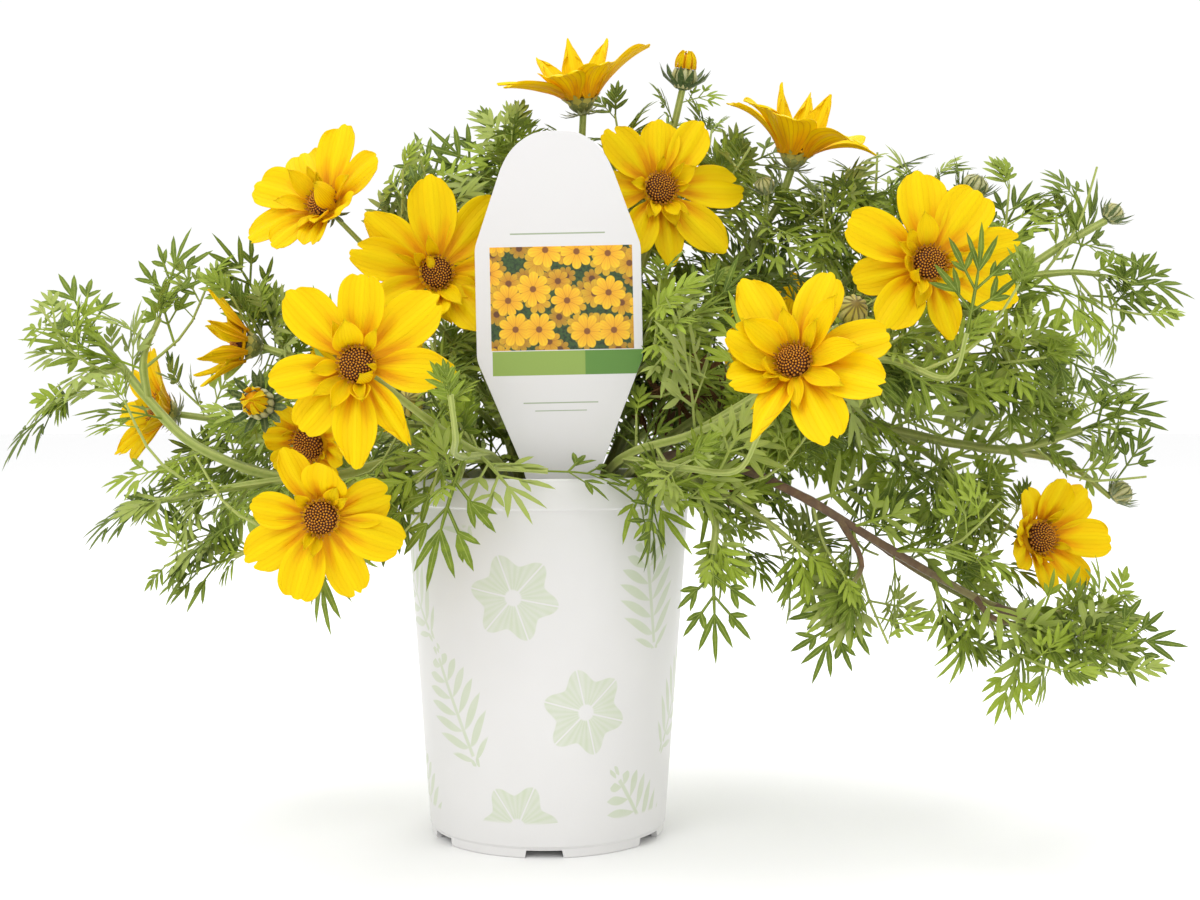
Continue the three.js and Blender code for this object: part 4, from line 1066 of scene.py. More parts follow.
@dataclass
class PottingMix:
    """The mix that fills the pot, with loose grains on top. Sizes in mm."""

    pot: NurseryPot
    top: float = 117.0
    lump: float = 1.7
    clearance: float = 0.35
    rings: int = 46
    sides: int = 132
    grains: int = 620
    perlite_share: float = 0.09

    def height(self, x: Array, y: Array) -> Array:
        """The top's height at a place: smooth lumps that die out at the wall.

        Args:
            x, y: The place.

        Returns:
            The height.
        """
        reach = np.hypot(x, y) / self.pot.inner_radius(self.top)
        waves = np.sin(x * 0.31 + 1) * np.cos(y * 0.27) + 0.6 * np.sin(x * 0.83 + y * 0.57)
        return self.top + self.lump * waves * (1 - reach ** 4)

    def build(self) -> Iterator[Piece]:
        """Makes the mix.

        Yields:
            The mix.
        """
        edge = self.pot.inner_radius(self.top) - self.clearance
        floor = self.pot.foot_height + self.pot.floor + 0.3
        reach = np.linspace(edge, 0.7, self.rings)
        profile = [(0, floor), (self.pot.inner_radius(floor) - self.clearance - 1.2, floor),
                   (self.pot.inner_radius(floor + 1) - self.clearance, floor + 1),
                   (edge, self.top - 1.0), *((r, self.top) for r in reach), (0, self.top)]
        points, faces = revolved(profile, self.sides)
        x, y, z = points.T
        radius = np.hypot(x, y)
        on_top = z > self.top - 0.5
        rough = np.sin(x * 2.1 + 3 * np.sin(y * 1.3)) * np.sin(y * 2.4 + 2 * np.sin(x * 1.7)) * 0.45
        rough += np.sin(x * 5.3 + y * 2.2) * np.sin(y * 4.9 - x * 1.9) * 0.25
        fade = np.clip((edge - radius) / 2, 0, 1)
        points[:, 2] = np.where(on_top, self.height(x, y) + rough * fade - 0.3 * (1 - fade), z)
        work = Patchwork()
        work.add(points * MM, faces, np.array([0.5, 0, 0, 0]))
        for i in range(self.grains):
            self.grain(work, i, edge - 1.5)
        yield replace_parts(work.piece("potting_mix", Slot.SOIL, [PottingMixFinish().make()], 50), "soil")

    def grain(self, work: Patchwork, i: int, reach: float) -> None:
        """Adds one loose grain of bark, peat or perlite, half sunk in the top.

        Args:
            work: The patchwork that it is added to.
            i: Its number.
            reach: How far from the axis it may lie.
        """
        r, angle = reach * math.sqrt(draw(i, 1, 1)), TURN * draw(i, 2, 1)
        size = 0.45 + 1.5 * draw(i, 3, 1) ** 2.5
        is_perlite = draw(i, 4, 1) < self.perlite_share
        is_bark = draw(i, 5, 1) < 0.45
        rows = [(0, -size), (size * 0.7, -size * 0.6), (size, 0), (size * 0.65, size * 0.6), (0, size * 0.9)]
        points, faces = revolved(rows, 6)
        for k, point in enumerate(points):
            point *= 1 + spread(i, k, 7, 0.28)
        stretch = 1 if is_perlite else 1 + 1.6 * draw(i, 6, 1) * is_bark
        points = turned(points * [stretch, 1, 0.75], TURN * draw(i, 8, 1))
        x, y = r * math.cos(angle), r * math.sin(angle)
        points += [x, y, float(self.height(np.array(x), np.array(y))) + 0.25 * size]
        work.add(points * MM, faces, np.array([draw(i, 9, 1), is_perlite, is_bark and not is_perlite, 0]))


@dataclass
class Head:
    """Something that a stem carries. Sizes in mm."""

    name: str
    at: Triple
    faces: Triple

    def placed(self, points: Array) -> Array:
        """Points of the head's own axes, in metres in the part."""
        return (points @ basis_facing(self.faces) + self.at) * MM

    def bract(
        self, work: Patchwork, path: Sequence[Pair], halves: Sequence[float], clock: float, tone: Pair
    ) -> None:
        """Adds one bract.

        Args:
            work: The stem's patchwork.
            path: Its middle line as (reach, height) in the head's axes.
            halves: Half its width along the line.
            clock: Its angle about the head.
            tone: Its luck and how brown it is.
        """
        line = np.array([(r, 0, z) for r, z in path], float)
        points, faces = strip(line, halves, 0.35, 0.25, BACK)
        luck, brown = tone
        tones = strip_tones(len(line), luck, brown)
        work.add(self.placed(turned(points, clock)), faces, tones, Finish.SCALE.value)


class Finish(Enum):
    """The materials of a leafy stem, in their order on the piece."""

    LEAF = 0
    STALK = 1
    SCALE = 2


def strip_tones(stations: int, luck: float, last: float) -> Array:
    """The tones of a strip: luck, the place along it, the place around it, and one more number.

    Args:
        stations: How many points its middle line has.
        luck: The first number.
        last: The last number.

    Returns:
        A row of four for each point.
    """
    along = np.repeat(np.linspace(0, 1, stations)[:-1], 4)
    around = np.tile([0.5, 0.0, 0.5, 1.0], stations - 1)
    rows = np.stack([np.full_like(along, luck), along, around, np.full_like(along, last)], -1)
    return np.concatenate([rows, [[luck, 1, 0.3, last]]])


def arched(
    foot: Pair, along: Array, aside: Array, rise: Array, length: float, lift: float, curl: float
) -> Array:
    """A sheet of points that leaves its foot at a lift and bends along an arc.

    Args:
        foot: Where it starts, as (reach, height) in the head's axes.
        along: The place along it, as a share of its length.
        aside: How far each point is to the side.
        rise: How far each point stands off the middle line.
        length: Its length.
        lift: How steeply it leaves its foot, in degrees.
        curl: How many degrees it bends through.

    Returns:
        The grid of points.
    """
    slope = np.radians(lift + curl * along)
    bend = np.radians(curl * along / 2)
    chord = math.radians(lift) + bend
    run = along * length * np.sinc(bend / math.pi)
    reach = foot[0] + run * np.cos(chord) - rise * np.sin(slope)
    height = foot[1] + run * np.sin(chord) + rise * np.cos(slope)
    return np.stack(np.broadcast_arrays(reach, aside, height), -1)


@dataclass
class Bloom(Head):
    """One flower: how far its rays reach, how steeply they lift, how that changes round it, and their curl.

    rays lists its long rays in order round it: clock angle, reach, half width, any further lift and curl.
    Without that list they are even, the first at the clock angle first. slim narrows them. quills lists
    its short rays: clock angle, length, half width, lift and curl, and inner counts the further ones.
    shows_back is for one seen from behind. Angles are in degrees, 0 at the right and 90 at the top.
    """

    reach: float
    lift: float
    lean: float
    lean_at: float
    curl: float
    rays: tuple[tuple[float, ...], ...] = ()
    quills: tuple[tuple[float, ...], ...] = ()
    first: float = 0.0
    inner: int = 2
    shows_back: bool = False
    slim: float = 1.0
    seed: int = 0

    HUB = 7.3
    CUP_DEPTH = 7.2
    RAYS = 8
    EVEN_HALF = 0.245
    ROWS = 17
    COLUMNS = 13
    THICKNESS = 0.26
    QUILL = ((0, 0.5), (0.3, 0.92), (0.5, 1.0), (0.72, 0.80), (0.9, 0.40), (1, 0.06))
    HUB_PROFILE = ((0, -1.0), (3.5, -1.0), (6.2, -0.7), (6.9, -0.2), (6.0, 0.25), (4.0, 0.6), (0, 0.9))
    CUP = (
        (0, -7.6), (1.25, -7.4), (1.9, -6.4), (3.5, -5.2), (4.6, -3.9), (4.9, -2.4), (4.7, -1.2), (0, -1.1))
    CLOSED_FLORET = ((0, -0.3), (0.36, -0.3), (0.42, 0.4), (0.25, 0.85), (0, 0.95))
    OPEN_FLORET = ((0, -0.3), (0.32, 0.9), (0.50, 1.3), (0.18, 1.25), (0.17, 2.0), (0, 2.25))
    FLORETS = 126

    def back(self) -> float:
        """How far behind its middle the stalk ends."""
        return self.CUP_DEPTH

    def shown(self) -> float:
        """The radius that leaves don't stand before: most of the flower's reach."""
        return (0.42 if self.shows_back else 0.68) * self.reach

    def build(self, yellow: Material, florets: Material) -> Iterator[Piece]:
        """Makes the rays and the disc.

        Args:
            yellow: The rays' material.
            florets: The disc's material.

        Yields:
            The rosette of rays, then the disc.
        """
        work = Patchwork()
        hub, faces = revolved(self.HUB_PROFILE, 24)
        # The hub's tone includes some painted fold shade.
        work.add(self.placed(hub), faces, np.array([0.08, 0.5, 0.3, 0.6]))
        for k, (clock, *shape) in enumerate(self.long_rays()):
            self.lay(work, *self.petal(k, *shape), clock)
        for k, (clock, *shape) in enumerate(self.short_rays()):
            self.lay(work, *self.quill(k, *shape), clock)
        rays = work.piece(f"bloom_rays_{self.name}", Slot.RAYS, [yellow], 50)
        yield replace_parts(rays, f"rays_{self.name}")
        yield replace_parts(self.disc(florets), f"disc_{self.name}")

    def long_rays(self) -> Iterator[tuple[float, ...]]:
        """Each long ray's clock angle, length from the hub, half width, lift and curl.

        Yields:
            Its five numbers.
        """
        span = self.reach - self.HUB
        even = [(self.first + 360 * k / self.RAYS, self.HUB + span * (0.93 + 0.12 * draw(self.seed, k, 2)),
                 self.EVEN_HALF * self.reach) for k in range(self.RAYS)]
        for k, ray in enumerate(self.rays or even):
            clock, reach, half, raised, curl = (*ray, 0.0, 0.0)[:5]
            lean = self.lean * math.cos(math.radians(clock - self.lean_at))
            lift = self.lift + lean + raised + (5 if k % 2 else -5)
            yield clock, 0.985 * (reach - self.HUB), self.slim * half, lift, self.curl + curl

    def short_rays(self) -> Iterator[tuple[float, ...]]:
        """Each short ray's clock angle, length, half width, lift and curl.

        Yields:
            Its five numbers.
        """
        yield from self.quills
        first = self.rays[0][0] if self.rays else self.first
        for i in range(self.inner):
            length = self.reach * (0.26 + 0.12 * draw(self.seed, i, 4))
            yield first + 180 * (i + 0.5 * draw(self.seed, i, 3)), length, 0.2 * length, 62, -24
        spare = 2 if self.quills else 4
        for i in range(spare):
            length = self.reach * (0.22 + 0.20 * draw(self.seed, i, 32))
            clock = first + 360 * (i + 0.2 + 0.6 * draw(self.seed, i, 31)) / spare
            lift = min(self.lift + 12 + 30 * draw(self.seed, i, 33), 66)
            half = length * (0.16 + 0.12 * draw(self.seed, i, 35))
            yield clock, length, half, lift, 130 * draw(self.seed, i, 34) - 60

    def petal(self, k: int, length: float, half: float, lift: float, curl: float) -> tuple[Array, Array]:
        """One long ray along +X: a pleated blade with teeth at its tip.

        Args:
            k: Its number on the flower.
            length: Its length from the hub.
            half: Half its greatest width.
            lift: Its lift from flat, in degrees.
            curl: How far it bends, in degrees.

        Returns:
            The grid of points, and the tone of each.
        """
        luck, more = draw(self.seed, k, 21), draw(self.seed, k, 22)
        share = (1 - (1 - np.linspace(0, 1, self.ROWS)) ** 1.3)[:, None]
        across = np.linspace(-1, 1, self.COLUMNS)[None, :]
        blunt = min(max((half / length - 0.19) / 0.10, 0.0), 1.0)
        notches = (np.abs(across - 0.10 * (luck - 0.5)) - 0.38) / 0.14
        teeth = (0.008 + 0.024 * blunt) * np.exp(-(notches ** 2))
        cleft = (0.13 if more > 0.74 else 0.0) * np.exp(-(((across - 0.8 * (luck - 0.5)) / 0.11) ** 2))
        round_tip = (0.26 - 0.15 * blunt) * np.abs(across) ** 2.6
        along = share * (1 - round_tip - teeth - cleft + 0.03 * np.sin(across * 2.3 + 9 * luck))
        start = -2.4 / length
        along = start + (1 - start) * along
        width = 1.07 * half * eased(share, [
            (0, 0.25), (0.12, 0.42), (0.3, 0.73), (0.5, 0.95), (0.65, 1.0), (0.8, 0.84 + 0.14 * blunt),
            (0.92, 0.58 + 0.30 * blunt), (0.97, 0.42 + 0.36 * blunt), (1, 0.28 + 0.40 * blunt)])
        aside = across * width
        ridge = np.cos(across * math.pi * (1.75 + 0.6 * luck) + 0.9 * (more - 0.5))
        body = np.clip(share * 2.4, 0, 1) * (1 - 0.45 * share ** 3)
        fine = 0.10 * np.cos(across * 17 + 5 * luck) * body
        cup = 0.15 * (np.sqrt(aside ** 2 + 1.5) - 1.22)
        ruffle = 0.8 * share ** 2 * across ** 3 * math.sin(6.3 * luck)
        ruffle = ruffle + 0.45 * share * np.sin(6 * share + 11 * more) * across ** 2
        twist = math.radians(spread(self.seed, k, 23, 11)) * share * aside
        rise = cup + 0.70 * ridge * body + fine + ruffle + twist
        sway = spread(self.seed, k, 24, 0.06) * length * share ** 2
        curl += spread(self.seed, k, 25, 7)
        grid = arched((self.HUB, 0.35), along, aside + sway, rise, length, lift, curl)
        # Painted shade for the pleats' valleys, fading towards the tip; it goes out as the fold tone.
        fold = (0.5 - 0.5 * ridge) * np.clip(1.45 - share, 0, 1)
        tones = np.stack(np.broadcast_arrays(np.clip(along, 0, 1), (across + 1) / 2 + k, fold, 0.0), -1)
        return grid, tones

    def quill(self, k: int, length: float, half: float, lift: float, curl: float) -> tuple[Array, Array]:
        """One short ray that stands on the hub beside the disc, rolled at its sides.

        Args:
            k: Its number on the flower.
            length: Its length.
            half: Half its greatest width.
            lift: Its lift from flat, in degrees.
            curl: How far it bends, in degrees.

        Returns:
            The grid of points, and the tone of each.
        """
        luck = draw(self.seed, k, 36)
        share, across = np.linspace(0, 1, 12)[:, None], np.linspace(-1, 1, 7)[None, :]
        width = half * eased(share, self.QUILL)
        roll = (0.5 + 0.9 * luck) * np.abs(across) ** 2 * width * 0.55 + 0.12 * np.cos(across * 6)
        sway = spread(self.seed, k, 37, 0.16) * length * share ** 2
        along = share * (1 - 0.08 * across ** 2)
        grid = arched((6.2, 0.8), along, across * width + sway, roll, length, lift, curl)
        # Painted shade: the fold tone shades the rolled sides towards the foot, and the along tone is held
        # low so the quill is more golden than the long rays, standing in for the warm shade it sits in.
        fold = 0.5 * (1 - share) * np.abs(across)
        return grid, np.stack(np.broadcast_arrays(0.10 + 0.45 * share, (across + 1) / 2 + k, fold, 0.0), -1)

    def lay(self, work: Patchwork, grid: Array, tones: Array, clock: float) -> None:
        """Adds a ray's sheet to the flower at its clock angle in degrees.

        Args:
            work: The patchwork that it is added to.
            grid: The sheet's points.
            tones: The tone of each.
            clock: Its clock angle.
        """
        points, faces = slab(grid, self.THICKNESS)
        upper = tones.reshape(-1, 4)
        lower = upper.copy()
        lower[:, 3] = 1.0
        work.add(self.placed(turned(points, math.radians(clock))), faces, np.concatenate([upper, lower]))

    def disc(self, florets: Material) -> Piece:
        """The dome of florets: closed ones in spirals, and open ones with dark anthers round them.

        Args:
            florets: The disc's material.

        Returns:
            The disc.
        """
        radius, base, height = 5.35, 0.6, 3.5
        work = Patchwork()
        shape = ((0.92, 0.5), (0.7, 0.78), (0.35, 0.9), (0, 0.93))
        top = [(x * radius, base + z * height) for x, z in shape]
        dome = [(0, base), (radius, base), (radius, base + 0.9), *top]
        points, faces = revolved(dome, 20)
        work.add(self.placed(points), faces, np.array([0.0, 0.5, 0, 0]))
        closed, opened = revolved(self.CLOSED_FLORET, 5), revolved(self.OPEN_FLORET, 5)
        for i in range(self.FLORETS):
            share = math.sqrt((i + 0.5) / self.FLORETS)
            is_open = share > 0.9
            angle = GOLDEN * i
            out = np.array([math.cos(angle), math.sin(angle), 0])
            stand = share * radius * out + UP * (base + height * (0.93 - 0.62 * share ** 2.2))
            z = unit(UP + out * (0.25 * share + 0.65 * share ** 3))
            x = unit(np.cross(BACK, z))
            points, faces = opened if is_open else closed
            size = 0.94 + 0.12 * draw(self.seed, i, 43)
            local = (points * size) @ np.stack([x, np.cross(z, x), z]) + stand
            tones = np.zeros((len(points), 4))
            tones[:, 0] = np.clip(points[:, 2] / 0.9, 0, 1)
            tones[:, 1] = draw(self.seed, i, 44)
            tones[:, 2] = is_open * (points[:, 2] > 1.22)
            work.add(self.placed(local), faces, tones)
        return work.piece(f"bloom_disc_{self.name}", Slot.DISC, [florets], 50)

    def dress_stalk(self, work: Patchwork, seed: int) -> None:
        """Adds the green cup under the flower, with brown inner bracts and thin spreading outer ones.

        Args:
            work: The patchwork that it is added to.
            seed: What its draws start from.
        """
        points, faces = revolved(self.CUP, 16)
        tones = np.tile([draw(seed, 1, 51), 0.2, 0.3, 0.25], (len(points), 1))
        work.add(self.placed(points), faces, tones, Finish.SCALE.value)
        for k in range(8):
            clock = TURN * (k + 0.5) / 8 + spread(seed, k, 52, 0.12)
            rise = math.radians(self.lift)
            tip = (5.6 + 3.2 * math.cos(rise), -2.2 + 3.2 * math.sin(rise))
            self.bract(work, [(3.9, -4.6), (4.9, -3.0), (5.4, -2.2), tip], (1.2, 1.7, 1.5),
                       clock, (draw(seed, k, 53), 0.85))
        count, reach = (13, 9.0) if self.shows_back else (9, 7.4)
        for k in range(count):
            clock = TURN * k / count + spread(seed, k, 54, 0.15)
            droop = spread(seed, k, 55, 1.5)
            line = [(1.6, -6.6), (0.38 * reach, -6.9 + 0.3 * droop), (0.72 * reach, -6.2 + 0.7 * droop),
                    (reach, -4.8 + droop)]
            self.bract(work, line, (0.5, 0.75, 0.55), clock, (draw(seed, k, 56), 0.2 * draw(seed, k, 57)))


@dataclass
class Bud(Head):
    """One bud: how big it is, and whether it has opened to show its rays."""

    size: float
    open: bool
    ripe: float = 0.35

    RADIUS = 4.6
    DEPTH = 8.0
    REACH = 9.4
    BODY = ((0, -1.02), (0.3, -1.0), (0.62, -0.88), (0.9, -0.7), (1.0, -0.5), (0.96, -0.32), (0.84, -0.15))
    CORE = ((0, -0.02), (0.7, -0.02), (0.66, 0.4), (0.5, 0.85), (0.2, 1.08), (0, 1.1))
    SCALES = 12
    BRACTS = 12
    RAYS = 9

    def back(self) -> float:
        """How far behind its tip the stalk ends."""
        return self.DEPTH * self.size

    def shown(self) -> float:
        """The radius that leaves don't stand before: all of the bud with its bracts."""
        return 1.3 * self.RADIUS * self.size

    def dress_stalk(self, work: Patchwork, seed: int) -> None:
        """Adds the bud: its body, the scales pressed to it, and thin spreading bracts.

        Args:
            work: The patchwork that it is added to.
            seed: What its draws start from.
        """
        r, depth = self.RADIUS * self.size, self.back()
        mouth, top = (0.74, -0.02) if self.open else (0.30, 0.09)
        body = [*self.BODY, (mouth, top - 0.03), (0, top)]
        points, faces = revolved([(x * r, z * depth) for x, z in body], 20)
        tones = np.zeros((len(points), 4))
        tones[:, 2] = 0.18
        tones[:, 3] = np.clip(1.1 + points[:, 2] / depth * 1.6, 0, 1) * self.ripe
        work.add(self.placed(points), faces, tones, Finish.SCALE.value)
        for k in range(self.SCALES):
            lift = 0.03 + 0.05 * (k % 2)
            line = [(0.6 + lift, -0.92), (1.0 + lift, -0.62), (1.0 + lift, -0.36), (0.86 + lift, -0.14),
                    (0.5 * mouth + 0.1, top + 0.05 - 0.06 * (k % 2))]
            line = [*line[:4], (mouth + lift, 0.06)] if self.open else line
            path = [(x * r, z * depth) for x, z in line]
            self.bract(work, path, (0.20 * r, 0.25 * r, 0.24 * r, 0.17 * r), TURN * k / self.SCALES,
                       (0.5 + 0.4 * draw(seed, k, 61), self.ripe * (0.6 + 0.8 * draw(seed, k, 65))))
        reach = self.REACH * self.size * (1.12 if self.open else 1.0)
        for k in range(self.BRACTS):
            clock = TURN * (k + 0.5) / self.BRACTS + spread(seed, k, 62, 0.14)
            lift = spread(seed, k, 63, 1.2)
            line = [(0.5 * r, -0.95 * depth), (r, 0.3 * lift - 0.74 * depth),
                    (0.78 * reach, lift - 0.40 * depth), (0.96 * reach, lift + 0.02 * depth)]
            halves = (1.0, 1.4, 1.2) if self.open else (0.5, 0.8, 0.6)
            self.bract(work, line, halves, clock, (0.3 * draw(seed, k, 64) - 0.3 * self.open, 0.0))

    def build(self, yellow: Material) -> Iterator[Piece]:
        """Makes the tuft of folded rays that shows in an opening bud.

        Args:
            yellow: The rays' material.

        Yields:
            The tuft, if the bud is open.
        """
        if not self.open:
            return
        work = Patchwork()
        r = self.RADIUS * self.size
        points, faces = revolved([(x * r, z * r) for x, z in self.CORE], 12)
        # The core's tone sets the painted fold shade full on, with the darkest ray colour.
        work.add(self.placed(points), faces, np.array([0.0, 0.5, 1.0, 0.6]))
        share, across = np.linspace(0, 1, 9)[:, None], np.linspace(-1, 1, 5)[None, :]
        fold = np.abs(across)
        for k in range(self.RAYS):
            luck = draw(k, 3, 71)
            width = 0.23 * r * eased(share, [(0, 0.9), (0.45, 1.0), (0.8, 0.62), (1, 0.2)])
            length, lift, curl = (1.35 + 0.35 * luck) * r, 70 + 12 * luck, 40 + 60 * luck
            grid = arched((0.74 * r, -0.1), share, across * width, -0.4 * fold, length, lift, curl)
            points, faces = slab(grid, 0.24)
            # The fold tone paints shade into each ray's folded sides.
            tones = np.stack(np.broadcast_arrays(0.2 + 0.5 * share, (across + 1) / 2 + k, fold, 0.0), -1)
            tones = np.tile(tones.reshape(-1, 4), (2, 1))
            work.add(self.placed(turned(points, TURN * k / self.RAYS)), faces, tones)
        tuft = work.piece(f"bud_rays_{self.name}_tuft", Slot.RAYS, [yellow], 50)
        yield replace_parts(tuft, f"bud_rays_{self.name}")


BLOOMS = [
    Bloom("crown", (12, 0, 271), (-0.15, -0.1, 0.98), 31, 40, 28, 50, -22, ((0, 33, 8.4, 0, -12), (40, 30,
        4.8), (92, 31.5, 4.4, 14, 12), (135, 30, 4.4, 12), (165, 33, 5.6, 16, -14), (205, 31, 7.6, 10, -10),
        (248, 26, 7.8, 42, -44), (300, 26, 7.6, 24, -40)), inner=1, shows_back=True),
    Bloom("left_high", (-79, -20, 228.7), (-0.35, -0.8, 0.45), 30, 24, 16, 320, -14, ((30, 27, 7), (84, 31,
        7.2), (127, 30.5, 7.2), (165, 31, 7.6), (207, 31, 7.4), (240, 26, 5.6), (280, 25, 5), (330, 25, 7)),
        ((295, 15, 3.5, 48, -10), (20, 13, 3.4, 50, -10), (150, 13, 3.6, 66, -20), (200, 13, 3.4, 60, -20),
        (335, 13, 3.4, 84, 40), (25, 12, 3.2, 90, 36))),
    Bloom("left_inner", (-38.5, -25, 203.9), (0.1, -0.97, -0.05), 31, 26, 20, 270, -12, ((50, 34, 7.5), (93,
        34, 8), (140, 32, 6.5), (168, 32.5, 7), (212, 29, 6.5), (262, 24, 6, 10), (310, 29, 6.5), (355, 31,
        7.2)), ((118, 14, 1.5, 62, 300), (158, 14, 1.3, 40, 20), (280, 13, 4.2, 22, -30), (330, 12, 4, 30,
        -30))),
    Bloom("left_front", (-57, -90, 169.5), (0, -1, 0.05), 31.5, 14, 6, 250, -10, ((39, 33.5, 7.8), (84,
        29.5, 7), (132, 31.5, 7.4), (192, 28, 6.4), (230, 28, 6.4), (270, 35, 6.6), (305, 32, 4.6), (353,
        33, 6.6)), ((108, 11, 5, 76, -70), (186, 9, 2.6, 24, 10), (222, 11.5, 2.6, 22, 12), (243, 12, 3, 26,
        20), (308, 8, 3.2, 50, 130), (350, 10, 1, 70, 60))),
    Bloom("left_low", (-71, -75, 120.4), (0, -1, 0.04), 27, 14, 8, 90, -14, ((16, 24, 7.2), (80, 22, 7.2,
        25), (118, 26, 5), (171, 23, 5.6), (209, 28.5, 7), (251, 28.5, 7), (296, 28.5, 6.4), (340, 29.5,
        7)), ((262, 8, 2.2, 30, 10), (60, 7, 2.6, 50, -30))),
    Bloom("left_side", (-111.7, -5, 179.1), (-0.95, -0.25, 0.1), 25, 58, 8, 270, -12, first=20,
        shows_back=True, slim=0.5, inner=9),
    Bloom("left_far", (-150, 25, 155), (-0.75, -0.6, 0.2), 25, 38, 8, 0, -14, first=10, shows_back=True,
        slim=0.78, inner=4),
    Bloom("left_hidden", (-80, -45, 144), (-0.3, -0.9, -0.25), 17, 30, 0, 0, -8, first=30, inner=0),
    Bloom("label_right", (41, -12, 235.1), (0.2, -0.96, 0.1), 29, 12, 6, 180, -12, ((5, 31.5, 7.8), (55, 29,
        6.4), (92, 25, 6.8), (138, 29.5, 7), (187, 29, 7), (240, 29, 6), (278, 30, 5.4), (312, 33, 6.8)),
        ((30, 9.5, 3.6, 42, -20), (2, 6, 2, 40, 30), (172, 7, 2.4, 45, -20), (245, 8, 2.2, 30, 0), (286,
        9.5, 3.2, 26, -20), (316, 10, 1.4, 30, 20))),
    Bloom("right_high", (92, 5, 251.6), (0.2, -0.15, 0.97), 32, 38, 20, 115, -40, ((8, 33, 7.2, 12, -20),
        (50, 33, 4.2, 22, 30), (84, 34, 4.0, 12, 26), (128, 33, 4.2, 8, 30), (172, 33, 7, 16, -30), (212,
        32, 7.6, 28, -30), (250, 32, 9, 38, -20), (312, 32, 8.8, 30, -36)), inner=0, shows_back=True),
    Bloom("right_upper", (129.5, -55, 204.4), (0.05, -1, 0.1), 31.5, 13, 8, 250, -12, ((11, 32.5, 6.6), (55,
        31, 8.4), (97, 32, 8.2), (154, 33, 7.8), (195, 28, 6.2), (232, 31, 7.2), (284, 28, 5), (336, 31.5,
        7)), ((98, 12, 3.8, 42, -40), (150, 8, 2.4, 40, -20), (188, 10, 3, 34, 70), (226, 14, 2.4, 30, 110),
        (255, 12, 2.8, 24, 0), (300, 10, 2.2, 40, -40))),
    Bloom("right_front", (81, -85, 170.3), (-0.3, -0.8, 0.4), 33, 20, 12, 200, -14, ((18, 32, 7), (70, 32,
        7.6), (125, 35, 7), (165, 25, 7, 15), (215, 24, 6.5, 12), (258, 35, 5.2), (299, 34, 7.6), (341, 34,
        7.6)), ((47, 20, 4.8, 40, -20), (2, 19, 4.6, 32, -14), (322, 17, 3.6, 26, -6), (214, 13, 2.6, 40,
        90), (188, 16, 4.6, 40, -10), (236, 17, 1.3, 16, 10), (140, 17, 5.2, 54, -24), (98, 13, 3.2, 56,
        -30), (282, 14, 2.6, 24, -10))),
    Bloom("right_far", (176.8, -20, 109.5), (0.35, -0.9, 0.1), 25, 40, 8, 180, -16, ((43, 25, 6.2), (75, 24,
        5.6), (120, 22, 5.5), (165, 22, 5.5), (205, 22, 5.5), (255, 24, 5), (310, 24, 5.6), (358, 27, 6.6)),
        shows_back=True),
    Bloom("back_left", (-75, 60, 170), (-0.4, 0.85, 0.3), 28, 16, 8, 90, -12, first=70, inner=0),
    Bloom("back_high", (-20, 75, 215), (-0.2, 0.8, 0.55), 29, 22, 8, 30, -14, first=85, inner=0),
    Bloom("back_right", (95, 80, 185), (0.3, 0.85, 0.4), 29, 18, 8, 200, -14, first=60, inner=0),
]
BUDS = [
    Bud("top", (50.8, 0, 281), (0.15, -0.2, 1), 1, True),
    Bud("left", (-95, -62, 158), (0, -1, 0.1), 1.1, True),
    Bud("inner", (-46, -50, 158.7), (-0.1, -0.95, 0.2), 1, False, 0.7),
    Bud("high", (78.8, -5, 239.7), (-0.3, -0.3, 0.9), 0.75, False),
    Bud("right_top", (159.2, 0, 241), (0.4, -0.3, 0.85), 1.05, False),
    Bud("far_top", (206, -15, 228), (0.7, -0.1, 0.7), 0.8, False),
    Bud("middle", (105, -55, 190.6), (0.1, -0.9, 0.4), 1.05, False, 1.0),
    Bud("far_right", (212, -10, 127), (0.8, -0.2, 0.5), 0.9, False),
]
for number, bloom in enumerate(BLOOMS):
    bloom.seed = number + 1
HEADS: dict[str, Bloom | Bud] = {head.name: head for head in [*BLOOMS, *BUDS]}


